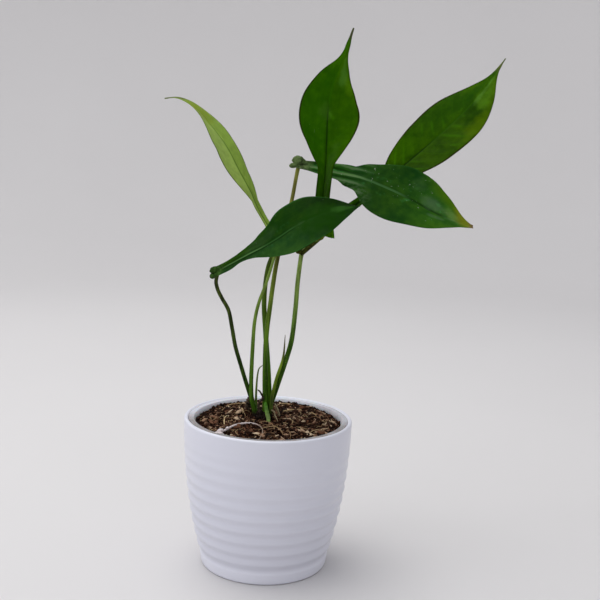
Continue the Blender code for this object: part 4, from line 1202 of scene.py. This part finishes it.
def make_trims():
    """The sheath, shoot, stub, dry scale, stump and bare roots round the crown."""
    sheath = stalk_finish("sheath_green", (0.05, 0.09, 0.01), (0.14, 0.13, 0.05),
                          bands=((0.53, 0.3, 0.9, (0.18, 0.3, 0.016)),))
    green = stalk_finish("shoot_green", (0.13, 0.24, 0.04), (0.17, 0.23, 0.06), earth=124)
    stub = stalk_finish("stub_green", (0.24, 0.33, 0.1), (0.05, 0.22, 0.01), earth=115)
    brown = dry_finish("scale_brown", (0.008, 0.005, 0.004), (0.05, 0.032, 0.02))
    earthy = dry_finish("stump_earthy", (0.004, 0.003, 0.002), (0.085, 0.055, 0.03))
    root = dry_finish("root_tan", (0.16, 0.12, 0.06), (0.42, 0.36, 0.22))
    rod("sheath_blade", [(1.4, 6.2, 118, 1.6), (2.2, 5.6, 136, 1.4), (5.3, 5.2, 152.5, 1.25),
                         (10, 4.9, 170, 0.95), (11, 5, 189, 0.2)], sheath, ["stalk_sheath"])
    rod("shoot_spear", [(-10, 10.6, 118, 1.1), (-11, 11, 135, 0.95), (-10.9, 11, 144, 0.85),
                        (-10.3, 11, 154, 0.65), (-9.2, 11, 159, 0.5), (-6.2, 11, 162, 0.15)],
        green, ["new_shoot"])
    rod("stub_cut", [(0.6, -7.5, 117.8, 1.2), (0.3, -5.5, 119.6, 1.6), (0.1, -3.4, 121.6, 1.7),
                     (-1, -0.6, 124.4, 1.7), (-2.1, 2.2, 128, 1.6), (-2.9, 4.8, 131.2, 1.3),
                     (-3.2, 7, 133, 0.7)], stub, ["cut_stub"])
    rod("scale_dry", [(-6.4, 4.4, 117, 1.8), (-7.4, 4.6, 126.8, 1.2), (-8.5, 4.6, 129.3, 0.9),
                      (-7.9, 4.8, 132, 0.8), (-5.9, 4.8, 134, 0.8), (-5.3, 5, 136, 1.0),
                      (-6.1, 5.2, 138.4, 0.8), (-8.1, 5.6, 141.3, 0.6), (-9.8, 5.8, 142.3, 0.3)],
        brown, ["dry_scale"], count=70, rough=0.5)
    rod("stump_old", [(-18.8, 17, 116.5, 3.6), (-18.4, 16.8, 120, 3.0), (-17.8, 16.4, 124.5, 2.5),
                      (-17.3, 16, 129.5, 2.1), (-17.1, 16, 133, 1.0)],
        earthy, ["old_stump"], rough=0.9)
    rod("root_bare_behind", [(2.6, 8, 131, 0.7), (5.1, 9, 129.6, 0.75), (6.6, 9, 126.4, 0.8),
                             (8.1, 9, 122.6, 0.75), (9, 9, 118.5, 0.6)],
        root, ["root_behind"], rough=0.3)
    rod("root_bare_front", [(2, 4.6, 126, 0.8), (4.1, 4, 125, 0.65), (5.5, 3.4, 121.6, 0.65),
                            (6.8, 0, 120, 0.6), (8, -5, 119, 0.45)],
        root, ["root_front"], rough=0.3)


def make_label_loop():
    """A clear nylon loop with a lock knob, lying on the mix and down inside the front rim."""
    loop = [  # x, y, height above the mound, radius
        (-36.2, -44.5, 2.3, 0.8), (-34.4, -39.6, 2.3, 0.9), (-32, -35, 1.9, 0.88), (-30.4, -31, 1.7, 0.88),
        (-25.9, -23.2, 1.7, 0.86), (-20.4, -18.6, 1.8, 0.84), (-14.9, -17, 1.8, 0.8), (-9.2, -18.4, 1.7, 0.6),
        (-4.7, -25, 1.5, 0.44), (-3, -36, 1.3, 0.36), (-4.2, -47.5, 1.2, 0.36), (-6, -56, 1.2, 0.36)]
    path = smooth_path([(x, y, SOIL_EDGE_Z + SOIL_MOUND * (1 - (x * x + y * y) / SOIL_EDGE_RADIUS**2) + up, r)
                        for x, y, up, r in loop], 130)
    strand = tube_mesh(path[:, :3], path[:, 3] * (1 + 0.12 * np.sin(np.arange(len(path)) * 1.3)), 10)
    lock = [blob(centre, radii, lean, 0.3, 1.4) for centre, radii, lean in (
        ((-35.2, -43.6, 121.2), (2.3, 2.2, 2.2), 30), ((-37.2, -46.8, 120.2), (2.1, 1.9, 1.9), 10),
        ((-34.4, -47.4, 119.9), (2.3, 1.8, 1.9), -20), ((-30.4, -33.4, 120.6), (1.7, 1.4, 1.5), 35))]
    joined("label_loop_nylon", [strand, *lock], [0] * 5, nylon_finish(), ["label_loop"])


# Stage --------------------------------------------------------------------------------------------


def make_stage():
    """A pale floor that curves up into a backdrop all round."""
    flat, curve, top, around = 1.5, 1.0, 1.8, 96
    profile = [(0.004, 0)] + [(r, 0) for r in np.linspace(0.2, flat, 8)]
    profile += [(flat + curve * math.sin(a), curve * (1 - math.cos(a)))
                for a in np.linspace(0.1, math.pi / 2, 16)]
    profile += [(flat + curve, top)]
    points = [(r * math.cos(a), r * math.sin(a), z - FLOOR_GAP) for r, z in profile for a in turns(around)]
    faces = grid_faces(len(profile), around, closed=True) + [tuple(reversed(range(around)))]
    mesh = bpy.data.meshes.new("floor")
    mesh.from_pydata(points, [], faces)
    mesh.shade_smooth()
    floor = placed("floor", mesh)
    f = Finish("floor_pale", Specular_IOR_Level=0.2)
    mesh.materials.append(f.made(f.mix(f.noise(2.5, 2), (0.68, 0.665, 0.665), (0.71, 0.695, 0.695)), 0.8))


def add_softbox(name, place, target, size, energy, colour):
    data = bpy.data.lights.new(name, "AREA")
    data.shape = "DISK"
    data.size = size
    data.energy = energy
    data.color = colour
    lamp = placed(name, data)
    lamp.location = place
    lamp.rotation_mode = "QUATERNION"
    lamp.rotation_quaternion = (Vector(target) - Vector(place)).to_track_quat("-Z", "Y")
    lamp.visible_camera = False


def make_lights():
    add_softbox("overhead", place=(-0.5, 0.35, 2.0), target=(0, 0, 0.15), size=1.8, energy=22,
                colour=(1, 0.99, 0.97))
    add_softbox("left_front", place=(-1.5, -1.2, 1.3), target=(0, 0, 0.2), size=2.2, energy=11,
                colour=(0.97, 0.98, 1))
    world = bpy.data.worlds.new("studio")
    world.use_nodes = True
    background = world.node_tree.nodes["Background"]
    background.inputs["Color"].default_value = (0.93, 0.95, 1, 1)
    background.inputs["Strength"].default_value = 0.62
    bpy.context.scene.world = world


def make_camera():
    data = bpy.data.cameras.new("camera")
    data.lens = CAMERA_LENS
    data.sensor_width = 36.0
    camera = placed("camera", data)
    right, up = Vector(CAMERA_RIGHT).normalized(), Vector(CAMERA_UP).normalized()
    turn = Matrix((right, up, right.cross(up))).transposed()
    camera.matrix_world = Matrix.Translation(CAMERA_PLACE) @ turn.to_4x4()
    bpy.context.scene.camera = camera
    bpy.context.scene.view_settings.view_transform = "Standard"


def main():
    rng = np.random.default_rng(SEED)
    make_camera()
    make_stage()
    make_lights()
    make_pot()
    make_nursery_pot()
    make_soil()
    make_chips(rng)
    make_crumbs(rng)
    make_fibres(rng)
    make_crown()
    for leaf in LEAVES:
        make_blade(leaf)
        make_knobs(leaf)
        make_stalk(leaf)
    make_trims()
    make_label_loop()


main()
